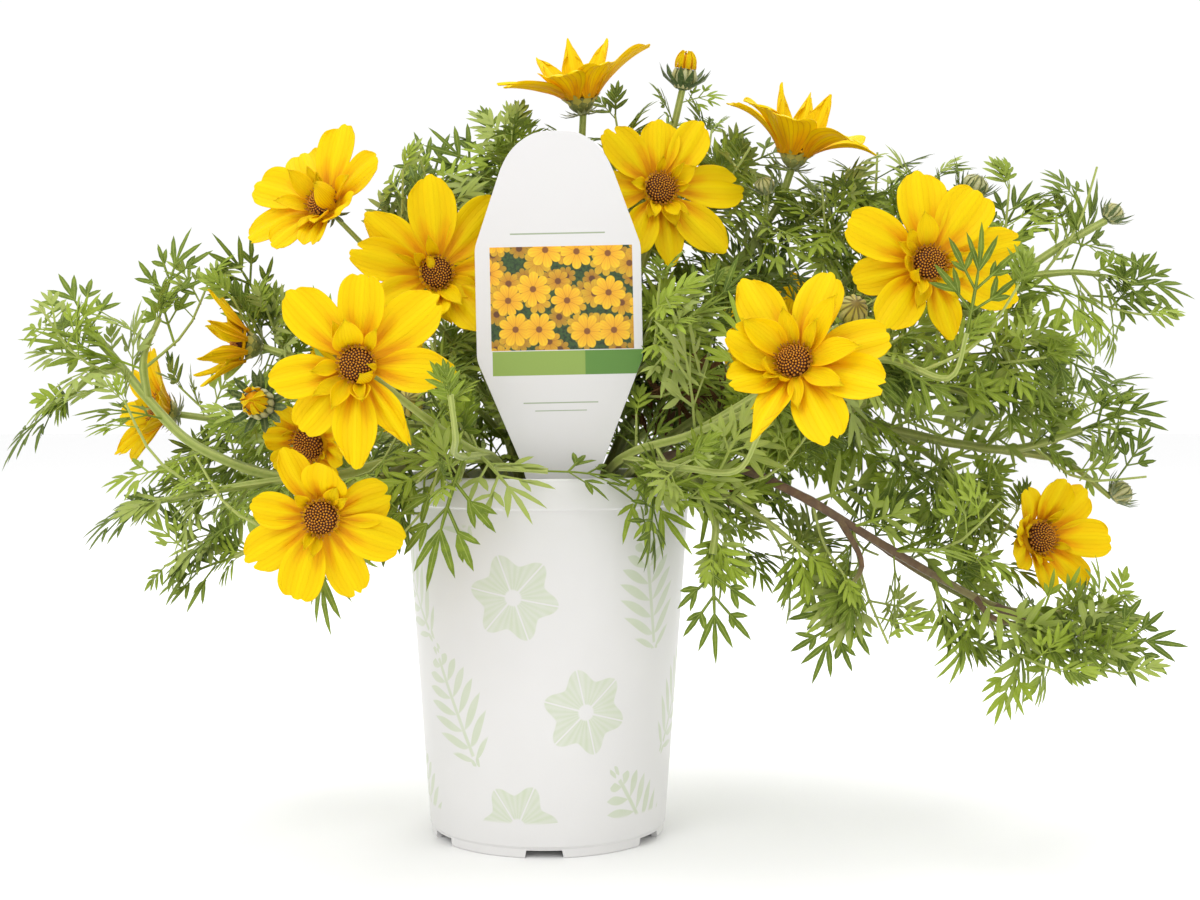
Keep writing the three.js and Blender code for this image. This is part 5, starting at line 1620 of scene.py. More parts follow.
class Course:
    """The smooth line that a stem follows through its points, as the solids' source draws it."""

    DIVISIONS = 200

    def __init__(self, points: Sequence[Sequence[float]]) -> None:
        """Measures the line through some points, in mm.

        Args:
            points: The points, in mm.
        """
        self.points = np.array(points, float)
        places = self.at(np.linspace(0, 1, self.DIVISIONS + 1))
        steps = np.linalg.norm(np.diff(places, axis=0), axis=1)
        self.lengths = np.concatenate([[0.0], np.cumsum(steps)])
        self.length = float(self.lengths[-1])

    def at(self, t: Array) -> Array:
        """Points of the line for its own parameter, from 0 to 1.

        Args:
            t: The parameter.

        Returns:
            The points.
        """
        p = self.points
        last = len(p) - 1
        place = np.clip(t, 0, 1) * last
        i = np.minimum(place.astype(int), last - 1)
        w = (place - i)[:, None]
        padded = np.concatenate([[2 * p[0] - p[1]], p, [2 * p[-1] - p[-2]]])
        p0, p1, p2, p3 = (padded[i + k] for k in range(4))
        pairs = ((p0, p1), (p1, p2), (p2, p3))
        d0, d1, d2 = (np.maximum(np.sum((b - a) ** 2, axis=1) ** 0.25, 1e-4)[:, None] for a, b in pairs)
        m1 = ((p1 - p0) / d0 - (p2 - p0) / (d0 + d1) + (p2 - p1) / d1) * d1
        m2 = ((p2 - p1) / d1 - (p3 - p1) / (d1 + d2) + (p3 - p2) / d2) * d1
        c2 = -3 * p1 + 3 * p2 - 2 * m1 - m2
        c3 = 2 * p1 - 2 * p2 + m1 + m2
        return p1 + m1 * w + c2 * w ** 2 + c3 * w ** 3

    def parameter(self, share: Array) -> Array:
        """The line's own parameter at shares of its length."""
        steps = np.linspace(0, 1, self.DIVISIONS + 1)
        return np.interp(np.asarray(share) * self.length, self.lengths, steps)

    def point(self, share: float) -> Array:
        """The point at a share of the length."""
        return self.at(np.array([self.parameter(np.array(share))]).ravel())[0]

    def tangent(self, share: float) -> Array:
        """The direction at a share of the length.

        Args:
            share: The share.

        Returns:
            The unit direction.
        """
        t = float(self.parameter(np.array(share)))
        ends = self.at(np.clip(np.array([t - 1e-4, t + 1e-4]), 0, 1))
        return unit(ends[1] - ends[0])


class Grade(Enum):
    """How far a leaf has grown: long blades, full, medium or young."""

    BLADE = "blade"
    FULL = "full"
    MEDIUM = "medium"
    YOUNG = "young"


class LeafCut:
    """A fern-cut leaf of unit length along +X, facing +Z: a winged rib with lance-shaped lobes off it."""

    ARCH = 0.16
    PROFILE = ((0.0, 0.45), (0.40, 1.0), (0.76, 0.70))
    THICK = 0.012
    LOBES = {
        Grade.FULL: ((0.20, 0.52, 0.38, 0.19), (0.39, 0.76, 0.30, 0.17), (0.56, 0.86, 0.16, 0)),
        Grade.MEDIUM: ((0.26, 0.58, 0.33, 0.21), (0.42, 0.76, 0.27, 0), (0.56, 0.88, 0.15, 0))}
    SIMPLE = ((0.22, 0.52, 0.33, 0), (0.38, 0.74, 0.27, 0), (0.54, 0.88, 0.15, 0))
    WIDTH = {Grade.BLADE: 0.070, Grade.FULL: 0.058, Grade.MEDIUM: 0.074, Grade.YOUNG: 0.110}

    def __init__(self, seed: int, grade: Grade) -> None:
        """Cuts one leaf.

        Args:
            seed: Which of the cuts this is.
            grade: How far it has grown.
        """
        self.seed = seed
        self.number = 0
        self.width = self.WIDTH[grade]
        self.work = Patchwork()
        self.probes: list[Array] = []
        self.stalk([(-0.03, 0), (0.26, 0), (0.5, 0), (0.72, 0)], (0.016, 0.017, 0.014))
        self.lobe((0.60, 0), (0.98, 0))
        for side in (1, -1):
            for foot, reach, aside, pair in self.LOBES.get(grade, self.SIMPLE):
                if pair:
                    self.divided((foot, 0), (reach, aside * side), pair)
                else:
                    self.lobe((foot, 0), (reach, aside * side))
        points = np.concatenate(self.work.points)
        points[:, 2] -= self.ARCH * (points[:, 0] ** 2 + 0.5 * np.abs(points[:, 1]))
        self.points = points
        self.tones = np.concatenate(self.work.tones)
        self.faces = [rows for rows, _ in self.work.faces]
        for probe in self.probes:
            probe[2] -= self.ARCH * (probe[0] ** 2 + 0.5 * abs(probe[1]))

    def jog(self, most: float) -> float:
        """The next small draw of this cut."""
        self.number += 1
        return spread(self.seed, self.number, 81, most)

    def divided(self, root: Pair, tip: Pair, length: float) -> None:
        """Adds a side part with a pair of lobes of its own.

        Args:
            root: Where it leaves the rib.
            tip: Where it ends.
            length: Its lobes' length.
        """
        start = np.array(root)
        end = np.array(tip) + [self.jog(0.03), self.jog(0.03)]
        line = end - start
        heading = math.atan2(line[1], line[0])
        bend = self.jog(0.14)
        rib = [tuple(start + line * share) for share in (0, 0.4, 0.72)]
        self.stalk(rib, (0.012, 0.013), bend)
        self.lobe(tuple(start + line * 0.45), tuple(end), bend)
        for side in (1, -1):
            angle = heading + side * (0.62 + self.jog(0.16))
            foot = start + line * (0.40 + self.jog(0.05))
            far = foot + length * (1 + self.jog(0.16)) * np.array([math.cos(angle), math.sin(angle)])
            self.lobe(tuple(foot), tuple(far), bend + self.jog(0.25))

    def lobe(self, foot: Pair, tip: Pair, tilt: float = 0.0) -> None:
        """Adds one lance-shaped lobe, tilted out of the leaf's plane.

        Args:
            foot: Where it starts.
            tip: Where it ends.
            tilt: How far it is tilted.
        """
        start = np.array([*foot, 0.0])
        end = np.array([tip[0] + self.jog(0.02), tip[1] + self.jog(0.03), 0.0])
        shares = np.array([*(share for share, _ in self.PROFILE), 1.0])[:, None]
        path = start + (end - start) * shares
        reach = np.linalg.norm(end - start)
        path[:, 2] += (tilt + self.jog(0.12)) * reach * shares[:, 0] - 0.10 * reach * shares[:, 0] ** 2
        wide = self.width * (1 + self.jog(0.18)) / 2
        points, faces = strip(path, [wide * w for _, w in self.PROFILE], self.THICK, 0.25)
        self.work.add(points, faces, strip_tones(len(path), 0.0, 0.0))
        self.probes.append(path[-1].copy())

    def stalk(self, path: Sequence[Pair], halves: Sequence[float], tilt: float = 0.0) -> None:
        """Adds a winged rib along a path in the leaf's plane.

        Args:
            path: Its points.
            halves: Half its width at each but the last.
            tilt: How far it is tilted.
        """
        line = np.array([(x, y, 0.0) for x, y in path])
        line[:, 2] += tilt * np.linalg.norm(line - line[0], axis=1)
        points, faces = strip(line, halves, 1.3 * halves[0])
        tones = strip_tones(len(line), 0.0, 0.0)
        tones[:, 2] *= 0.5
        self.work.add(points, faces, tones)


@dataclass(frozen=True)
class Branch:
    """A branch: where along its stem it leaves, its points and what it carries."""

    share: float
    path: tuple[Triple, ...]
    ends: str | None = None


@dataclass(frozen=True)
class Route:
    """One stalk of a stem, with the stretch that bears leaves."""

    course: Course
    radius: float
    leafy: Pair
    ends: str | None
    number: int


class Surroundings:
    """What leaves keep clear of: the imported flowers, pot and label, and the space before label and pot."""

    CLEAR = 0.5 * MM
    KEPT = np.array([
        [[-18.6, -108.5, 140.0], [31.2, -37.5, 262.0]], [[-44.0, -125.0, 0.0], [50.0, -40.0, 121.0]],
        [[-26.0, -125.0, 0.0], [22.0, -40.0, 136.0]]])
    CELL = 10.0
    DEAD_LEAVES = (43.0, -24.0, 151.0, 8.0)  # a place in the heart and the radius kept in sight there

    def __init__(self) -> None:
        """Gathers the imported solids."""
        points: list[Vector] = []
        faces: list[tuple[int, ...]] = []
        leafy: list[Vector] = []
        blades: list[tuple[int, ...]] = []
        self.tips: dict[str, KDTree] = {}
        self.filled: dict[tuple[int, ...], float] = {}
        self.sights: list[tuple[float, ...]] = [self.DEAD_LEAVES]
        for name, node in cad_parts.items():
            mesh = node.data
            if name == "soil":
                continue
            is_stem = name.startswith("stem_")
            spots, sheets = (leafy, blades) if is_stem else (points, faces)
            sheets += [tuple(len(spots) + i for i in face.vertices) for face in mesh.polygons]
            spots += [vertex.co.copy() for vertex in mesh.vertices]
            if is_stem:
                self.tips[name] = KDTree(len(mesh.vertices))
                for i, vertex in enumerate(mesh.vertices):
                    self.tips[name].insert(vertex.co, i)
                self.tips[name].balance()
        self.tree = BVHTree.FromPolygons(points, faces)
        self.leafy = BVHTree.FromPolygons(leafy, blades)
        self.eye = np.array(Studio.stand) / MM
        self.rise, self.reach = 0.0, 0.0
        margin = 1.2
        self.low, self.high = np.array(CAD_LOW) / MM + margin, np.array(CAD_HIGH) / MM - margin

    def holds_tip(self, stem: str, tip: Array) -> bool:
        """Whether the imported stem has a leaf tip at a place."""
        _, _, away = self.tips[stem].find(Vector(tip * MM))
        return away < 0.6 * MM

    def show(self, place: Array, radius: float) -> None:
        """Keeps leaves from standing before a place, as the camera sees it."""
        self.sights.append((*place, radius))

    def hides(self, places: Array, share: float = 1.0) -> bool:
        """Whether something at any of some places would stand before a share of what is to be seen.

        Args:
            places: The places.
            share: The share of each radius.

        Returns:
            Whether any would.
        """
        shown = np.array(self.sights) * [1, 1, 1, share]
        aim = shown[:, :3] - self.eye
        line = places - self.eye
        far = np.linalg.norm(line, axis=1)[:, None]
        along = (line @ aim.T) / far
        off = np.sum(aim * aim, axis=1)[None, :] - along ** 2
        return bool(np.any((off < shown[:, 3] ** 2) & (far < along + 0.5 * shown[:, 3])))

    def is_near(self, place: Array) -> bool:
        """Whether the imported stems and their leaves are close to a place, or not far under it."""
        return self.leafy.find_nearest(Vector((place - self.rise * UP) * MM), self.reach * MM)[0] is not None

    def note(self, place: Array, weight: float) -> None:
        """Notes a leaf at a place."""
        cell = tuple(int(c) for c in np.floor(place / self.CELL))
        self.filled[cell] = self.filled.get(cell, 0.0) + weight

    def crowd(self, place: Array) -> float:
        """How much leaf there is around a place, in mm."""
        cells = product(*((c - 1, c, c + 1) for c in (int(c) for c in np.floor(place / self.CELL))))
        return sum(self.filled.get(cell, 0.0) for cell in cells)

    def is_clear(self, foot: Array, probes: Array) -> bool:
        """Whether a leaf from its foot to its lobes' tips meets nothing.

        Args:
            foot: The foot of the leaf's blade, in mm.
            probes: The tips of its lobes.

        Returns:
            Whether it is free and inside the part's box.
        """
        if np.any(probes < self.low) or np.any(probes > self.high):
            return False
        for low, high in self.KEPT:
            if np.any(np.all((probes > low) & (probes < high), axis=1)):
                return False
        if not self.is_near(probes[0]) or self.hides(np.concatenate([probes, (probes + foot) / 2])):
            return False
        start = Vector(foot * MM)
        for probe in probes:
            end = Vector(probe * MM)
            line = end - start
            if self.tree.find_nearest(end, self.CLEAR)[0] is not None:
                return False
            if line.length > 0 and self.tree.ray_cast(start, line.normalized(), line.length)[0] is not None:
                return False
        return True


@dataclass
class LeafyStem:
    """One stem with its branches, leaves, shoots, bracts, cups and buds. Sizes in mm."""

    name: str
    root: Pair
    radius: float
    leafy: Pair
    path: tuple[Triple, ...]
    branches: tuple[Branch, ...]
    ends: str | None = None
    woody: float = 0.0
    crowded: float = 6.7
    rise: float = 6.0
    reach: float = 10.0
    bushy: int = 1
    seen: Pair | None = None
    seed: int = 0
    around: Surroundings = field(init=False)
    cuts: dict[Grade, list[LeafCut]] = field(init=False)
    work: Patchwork = field(default_factory=Patchwork)
    count: int = 0

    SOIL_TOP = 117.0
    STRAIGHT = 3.0
    STEP = 2.8
    SIDES = 8
    LEAF = 41.0
    SPACING = 35.0
    TURNS = (0, 40, -40, 80, -80, 130, -130, 180)
    SHOOTS = (42.0, 30.0, 19.0)
    SHOWN_SHARE = 0.62
    FEWEST = 3
    SHOOT_SPLAY = math.radians(50)
    SHOOT_RADIUS = 0.62
    THINNER = 0.66
    BRANCH_LEAFY = (0.35, 1.0)
    # Painted shade: leaves near this heart of the plant, within these sizes, get darker greens.
    SHADED_HEART = np.array([44, -6, 150])
    SHADED_HEART_SIZE = (60, 48, 50)
    DEAD = np.array([42, -14, 150])
    DEAD_SIZE = (22, 20, 20)

    def course(self, start: Array, path: Sequence[Triple], ends: str | None) -> Course:
        """The line from a start through a path to the back of its flower or bud.

        Args:
            start: Where it starts.
            path: Its further points.
            ends: What it carries.

        Returns:
            The line.
        """
        points = [start, *path]
        if ends:
            head = HEADS[ends]
            points.append(np.array(head.at) - unit(np.array(head.faces, float)) * head.back())
        return Course(points)

    def routes(self) -> list[Route]:
        """The stem and its branches.

        Returns:
            The stem first, and then each branch.
        """
        main = self.course(np.array([*self.root, self.SOIL_TOP + self.STRAIGHT]), self.path, self.ends)
        made = [Route(main, self.radius, self.leafy, self.ends, 0)]
        for number, branch in enumerate(self.branches, 1):
            course = self.course(main.point(branch.share), branch.path, branch.ends)
            made.append(Route(course, self.THINNER * self.radius, self.BRANCH_LEAFY, branch.ends, number))
        return made

    def places_seen(self) -> list[Array]:
        """Places along the stretch of the stem that is kept in sight.

        Returns:
            The places, in mm.
        """
        if self.seen is None:
            return []
        routes = self.routes()[:2 if self.woody == 1 else 1]
        return [route.course.point(share) for route in routes for share in np.linspace(*self.seen, 16)]

    def build(
        self, finishes: Sequence[Material], around: Surroundings, cuts: dict[Grade, list[LeafCut]]
    ) -> Iterator[Piece]:
        """Makes the stem.

        Args:
            finishes: The leaf, stalk and scale materials.
            around: What its leaves keep clear of.
            cuts: The leaf cuts of each grade.

        Yields:
            The leafy stem.
        """
        self.around, self.cuts = around, cuts
        around.rise, around.reach = self.rise, self.reach
        for route in self.routes():
            self.stalk(route)
            self.leaves(route)
            if route.ends:
                HEADS[route.ends].dress_stalk(self.work, self.seed * 10 + route.number)
        piece = self.work.piece(f"leafy_stem_{self.name}", Slot.FOLIAGE, finishes, 60)
        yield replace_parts(piece, f"stem_{self.name}")

    def stalk(self, route: Route) -> None:
        """Adds a ridged stalk, swollen a little where its leaves stand.

        Args:
            route: The stalk.
        """
        steps = max(4, round(route.course.length / self.STEP))
        shares = np.linspace(0, 1, steps + 1)
        path = route.course.at(route.course.parameter(shares))
        radii = route.radius * (1 - 0.4 * shares)
        for node in self.nodes(route):
            radii *= 1 + 0.16 * np.exp(-(((shares - node) * route.course.length / 2.2) ** 2))
        if route.number == 0:
            foot = [[*self.root, self.SOIL_TOP - 10], [*self.root, self.SOIL_TOP - 2]]
            path = np.concatenate([foot, path])
            radii = np.concatenate([[route.radius, route.radius * 1.06], radii])
            shares = np.concatenate([[0.0, 0.0], shares])
        points, faces = tube(path, radii, self.SIDES, 0.09)
        base = 0.85 * np.exp(-shares * 9) if route.number == 0 else np.zeros_like(shares)
        wood = np.maximum(base, self.woody * np.clip((1.15 - shares) * 2.2, 0, 1))
        tones = np.zeros((len(points), 4))
        tones[:, 0] = draw(self.seed, route.number, 91)
        tones[:-2, 2] = np.tile(np.arange(self.SIDES) % 2 == 0, len(path))
        tones[:-2, 3] = np.repeat(wood, self.SIDES)
        tones[-2:, 3] = wood[[0, -1]]
        self.work.add(points * MM, faces, tones, Finish.STALK.value)

    def nodes(self, route: Route) -> list[float]:
        """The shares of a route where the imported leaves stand.

        Args:
            route: The stalk.

        Returns:
            The shares, in order.
        """
        start, end = route.leafy
        free = 0 if route.ends else 1
        count = max(1, round((end - start) * route.course.length / self.SPACING + 1e-9) + free)
        made = []
        for k in range(count):
            is_tip = k == count - 1 and not route.ends
            made.append(0.995 if is_tip else start + (end - start) * k / max(1, count - free))
        return made

    def leaves(self, route: Route) -> None:
        """Adds a route's leaves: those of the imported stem, and more leaves and leafy shoots beside them.

        Args:
            route: The stalk.
        """
        nodes = self.nodes(route)
        for k, share in enumerate(nodes):
            is_tip = k == len(nodes) - 1 and not route.ends
            clock = self.packed_leaf(route, k, is_tip)
            key = 1000 * route.number + 50 * k
            if is_tip:
                self.tuft(route, key, 6)
            else:
                size = 0.80 + 0.25 * draw(self.seed, key, 160)
                self.leaf(route, key + 1, share, clock + math.pi, size, self.grade(key))
                self.shoot(route, key + 2, share, clock + math.pi / 2)
            if self.bushy > 1 and route.ends and k + 1 == len(nodes):
                for i in range(5):
                    at = share + (0.97 - share) * (i + 1) / 5
                    size = 0.75 - 0.07 * i
                    self.leaf(route, key + 40 + i, at, clock + 2.4 * (i + 1), size, Grade.FULL)
            if k + 1 < len(nodes):
                between = (share + nodes[k + 1]) / 2
                for extra in range(self.bushy):
                    self.shoot(route, key + 15 + 8 * extra, between - 0.04 * extra, clock + extra)
                for side in range(2):
                    size = 0.62 + 0.3 * draw(self.seed, key + side, 180)
                    self.leaf(route, key + 30 + side, between, clock + math.pi * (side + 0.5), size,
                              Grade.MEDIUM)

    def grade(self, key: int) -> Grade:
        """Whether a grown leaf is cut finely or into long blades, which older stems bear more of."""
        return Grade.BLADE if draw(self.seed, key, 170) < 0.12 + 0.5 * self.woody else Grade.FULL

    def packed_leaf(self, route: Route, k: int, is_tip: bool) -> float:
        """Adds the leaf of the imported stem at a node.

        Args:
            route: The stalk that it stands on.
            k: The node's number.
            is_tip: Whether it ends the stalk.

        Returns:
            Its angle about the stalk, in radians.
        """
        share, r = self.nodes(route)[k], route.number
        size = self.LEAF * (0.9 if is_tip else 0.85 + 0.35 * draw(self.seed, r, k))
        clock = math.radians(137 * k + 360 * draw(self.seed, r, 40))
        splay = 8 if is_tip else 50 + 20 * draw(self.seed, r, k + 80)
        roll = draw(self.seed, r, k + 120) - 0.5
        point, tangent = route.course.point(share), route.course.tangent(share)
        for turn in self.TURNS:
            turned_clock = clock if is_tip else clock + math.radians(turn)
            bent = math.radians(splay + 0.3 * turn if is_tip else splay)
            axes = leaf_axes(point, tangent, turned_clock, bent, roll + turn / 150)
            tip = point + size * (axes[0] - LeafCut.ARCH * axes[2])
            if self.around.holds_tip(f"stem_{self.name}", tip):
                blade = point + size * np.array([[0.35], [0.55], [0.75], [0.95]]) * axes[0]
                if self.around.hides(blade, self.SHOWN_SHARE):
                    return turned_clock
                cuts = self.cuts[Grade.FULL if is_tip else self.grade(100 * r + k)]
                cut = cuts[(self.seed * 7 + r * 3 + k) % len(cuts)]
                self.lay(cut, point, axes, size, 200 + 31 * r + k, 0.15 if is_tip else 1.0)
                return turned_clock
        return clock

    def tuft(self, route: Route, key: int, count: int) -> None:
        """Adds the crowd of young leaves at a growing tip.

        Args:
            route: The stalk.
            key: The first leaf's number.
            count: How many leaves.
        """
        for i in range(count):
            size = 0.26 + 0.05 * i + 0.08 * draw(self.seed, key, 20 + i)
            clock = i * GOLDEN + 5 * draw(self.seed, key, i)
            self.leaf(route, key + 10 + i, 0.99 - 0.02 * i, clock, size, Grade.YOUNG, 12 + 8 * i)

    def shoot(self, route: Route, key: int, share: float, clock: float) -> None:
        """Adds a thin side shoot with small leaves where there is the most room for it.

        Args:
            route: The stalk that it leaves.
            key: Its number.
            share: Where it leaves.
            clock: The first angle tried about the stalk.
        """
        point, tangent = route.course.point(share), route.course.tangent(share)
        best, lowest = None, self.crowded
        for turn in range(7):
            heading = leaf_axes(point, tangent, clock + TURN * turn / 7, self.SHOOT_SPLAY, 0)[0]
            for length in self.SHOOTS:
                middle = point + 0.5 * length * heading
                end = point + length * unit(heading + 0.35 * UP)
                crowd = self.around.crowd(end) - 0.06 * length + draw(self.seed, key, turn)
                if crowd < lowest and self.around.is_clear(point + heading, np.array([end, middle])):
                    best, lowest = (middle, end, length), crowd
        if best is None:
            return
        middle, end, length = best
        before = len(self.work.points), len(self.work.faces)
        count = self.count
        side = Route(Course([point, middle, end]), self.SHOOT_RADIUS, (0.3, 1.0), None, 0)
        path = side.course.at(np.linspace(0, 1, 6))
        points, faces = tube(path, np.linspace(self.SHOOT_RADIUS, 0.42, 6), 5)
        self.work.add(points * MM, faces, np.array([0.5, 0.5, 0.6, 0.0]), Finish.STALK.value)
        pairs = max(1, round(length / 12))
        for i in range(pairs):
            at = 0.34 + 0.56 * i / pairs
            size = 0.66 - 0.24 * i / pairs + 0.12 * draw(self.seed, key, 60 + i)
            for half in range(2):
                self.leaf(side, key + 3 + 2 * i + half, at, math.pi * (half + 0.5 * i) + clock, size,
                          Grade.MEDIUM if size > 0.5 else Grade.YOUNG)
        self.tuft(side, key, 3)
        if self.count < count + self.FEWEST:
            self.work.cut_back(*before)
            self.count = count

    def leaf(
        self, route: Route, key: int, share: float, clock: float, size: float, grade: Grade,
        splay: float = 0.0,
    ) -> None:
        """Adds one more leaf where there is room for it.

        Args:
            route: The stalk that it stands on.
            key: The leaf's number.
            share: Where on the stalk it stands.
            clock: Its angle about the stalk.
            size: Its length, as a share of a full leaf.
            grade: How far it has grown.
            splay: Its angle from the stalk in degrees, or 0 for a drawn one.
        """
        point, tangent = route.course.point(share), route.course.tangent(share)
        cuts = self.cuts[grade]
        cut = cuts[(self.seed * 5 + key) % len(cuts)]
        bent = math.radians(splay or 42 + 28 * draw(self.seed, key, 240))
        roll = draw(self.seed, key, 280) - 0.5
        length = self.LEAF * size
        for turn in self.TURNS[:5]:
            axes = leaf_axes(point, tangent, clock + math.radians(turn), bent, roll + turn / 150)
            probes = point + length * (np.array(cut.probes) @ axes)
            if self.around.is_clear(point + 0.15 * length * axes[0], probes):
                self.lay(cut, point, axes, length, key + 320)
                return

    def lay(
        self, cut: LeafCut, point: Array, axes: Array, length: float, key: int, light: float = 1.0
    ) -> None:
        """Adds one leaf at a place.

        Args:
            cut: The leaf's cut.
            point: The place of its foot.
            axes: Its axes.
            length: Its length.
            key: Its number.
            light: How light a green it may be, at most.
        """
        luck = draw(self.seed, key, 5)
        tones = cut.tones.copy()
        # Painted shade: the nearer a leaf's middle is to the plant's heart, the lower its first tone and the
        # deeper its green.
        deep = np.linalg.norm((point + 0.5 * length * axes[0] - self.SHADED_HEART) / self.SHADED_HEART_SIZE)
        tones[:, 0] = luck * light * min(1.0, 0.1 + 0.9 * deep ** 2)
        dead = np.linalg.norm((point - self.DEAD) / self.DEAD_SIZE) < 1 and luck > 0.2
        tones[:, 3] = 1.0 if dead else max(0.0, 0.5 * self.woody * (luck - 0.8))
        self.work.add((cut.points * length @ axes + point) * MM, cut.faces, tones, Finish.LEAF.value)
        self.around.note(point + 0.55 * length * axes[0], length / self.LEAF)
        self.count += 1


def leaf_axes(point: Array, tangent: Array, clock: float, splay: float, roll: float) -> Array:
    """A leaf's axes on a stem, as rows: x along it and z out of its upper face.

    Args:
        point: Where it stands.
        tangent: The stalk's direction there.
        clock: Its angle about the stalk.
        splay: Its angle from the stalk.
        roll: How far it is rolled about its own length.

    Returns:
        The three axes.
    """
    side = unit(np.cross(tangent, unit(np.array([0.35, 0.25, 0.9]))))
    up = np.cross(side, tangent)
    radial = up * math.cos(clock) + side * math.sin(clock)
    x = unit(tangent * math.cos(splay) + radial * math.sin(splay))
    z = 0.2 * unit(point * [1, 1, 0]) + 0.5 * UP - 0.45 * BACK + 0.45 * tangent
    z = about(unit(z - x * (z @ x)), x, roll)
    return np.stack([x, np.cross(z, x), z])


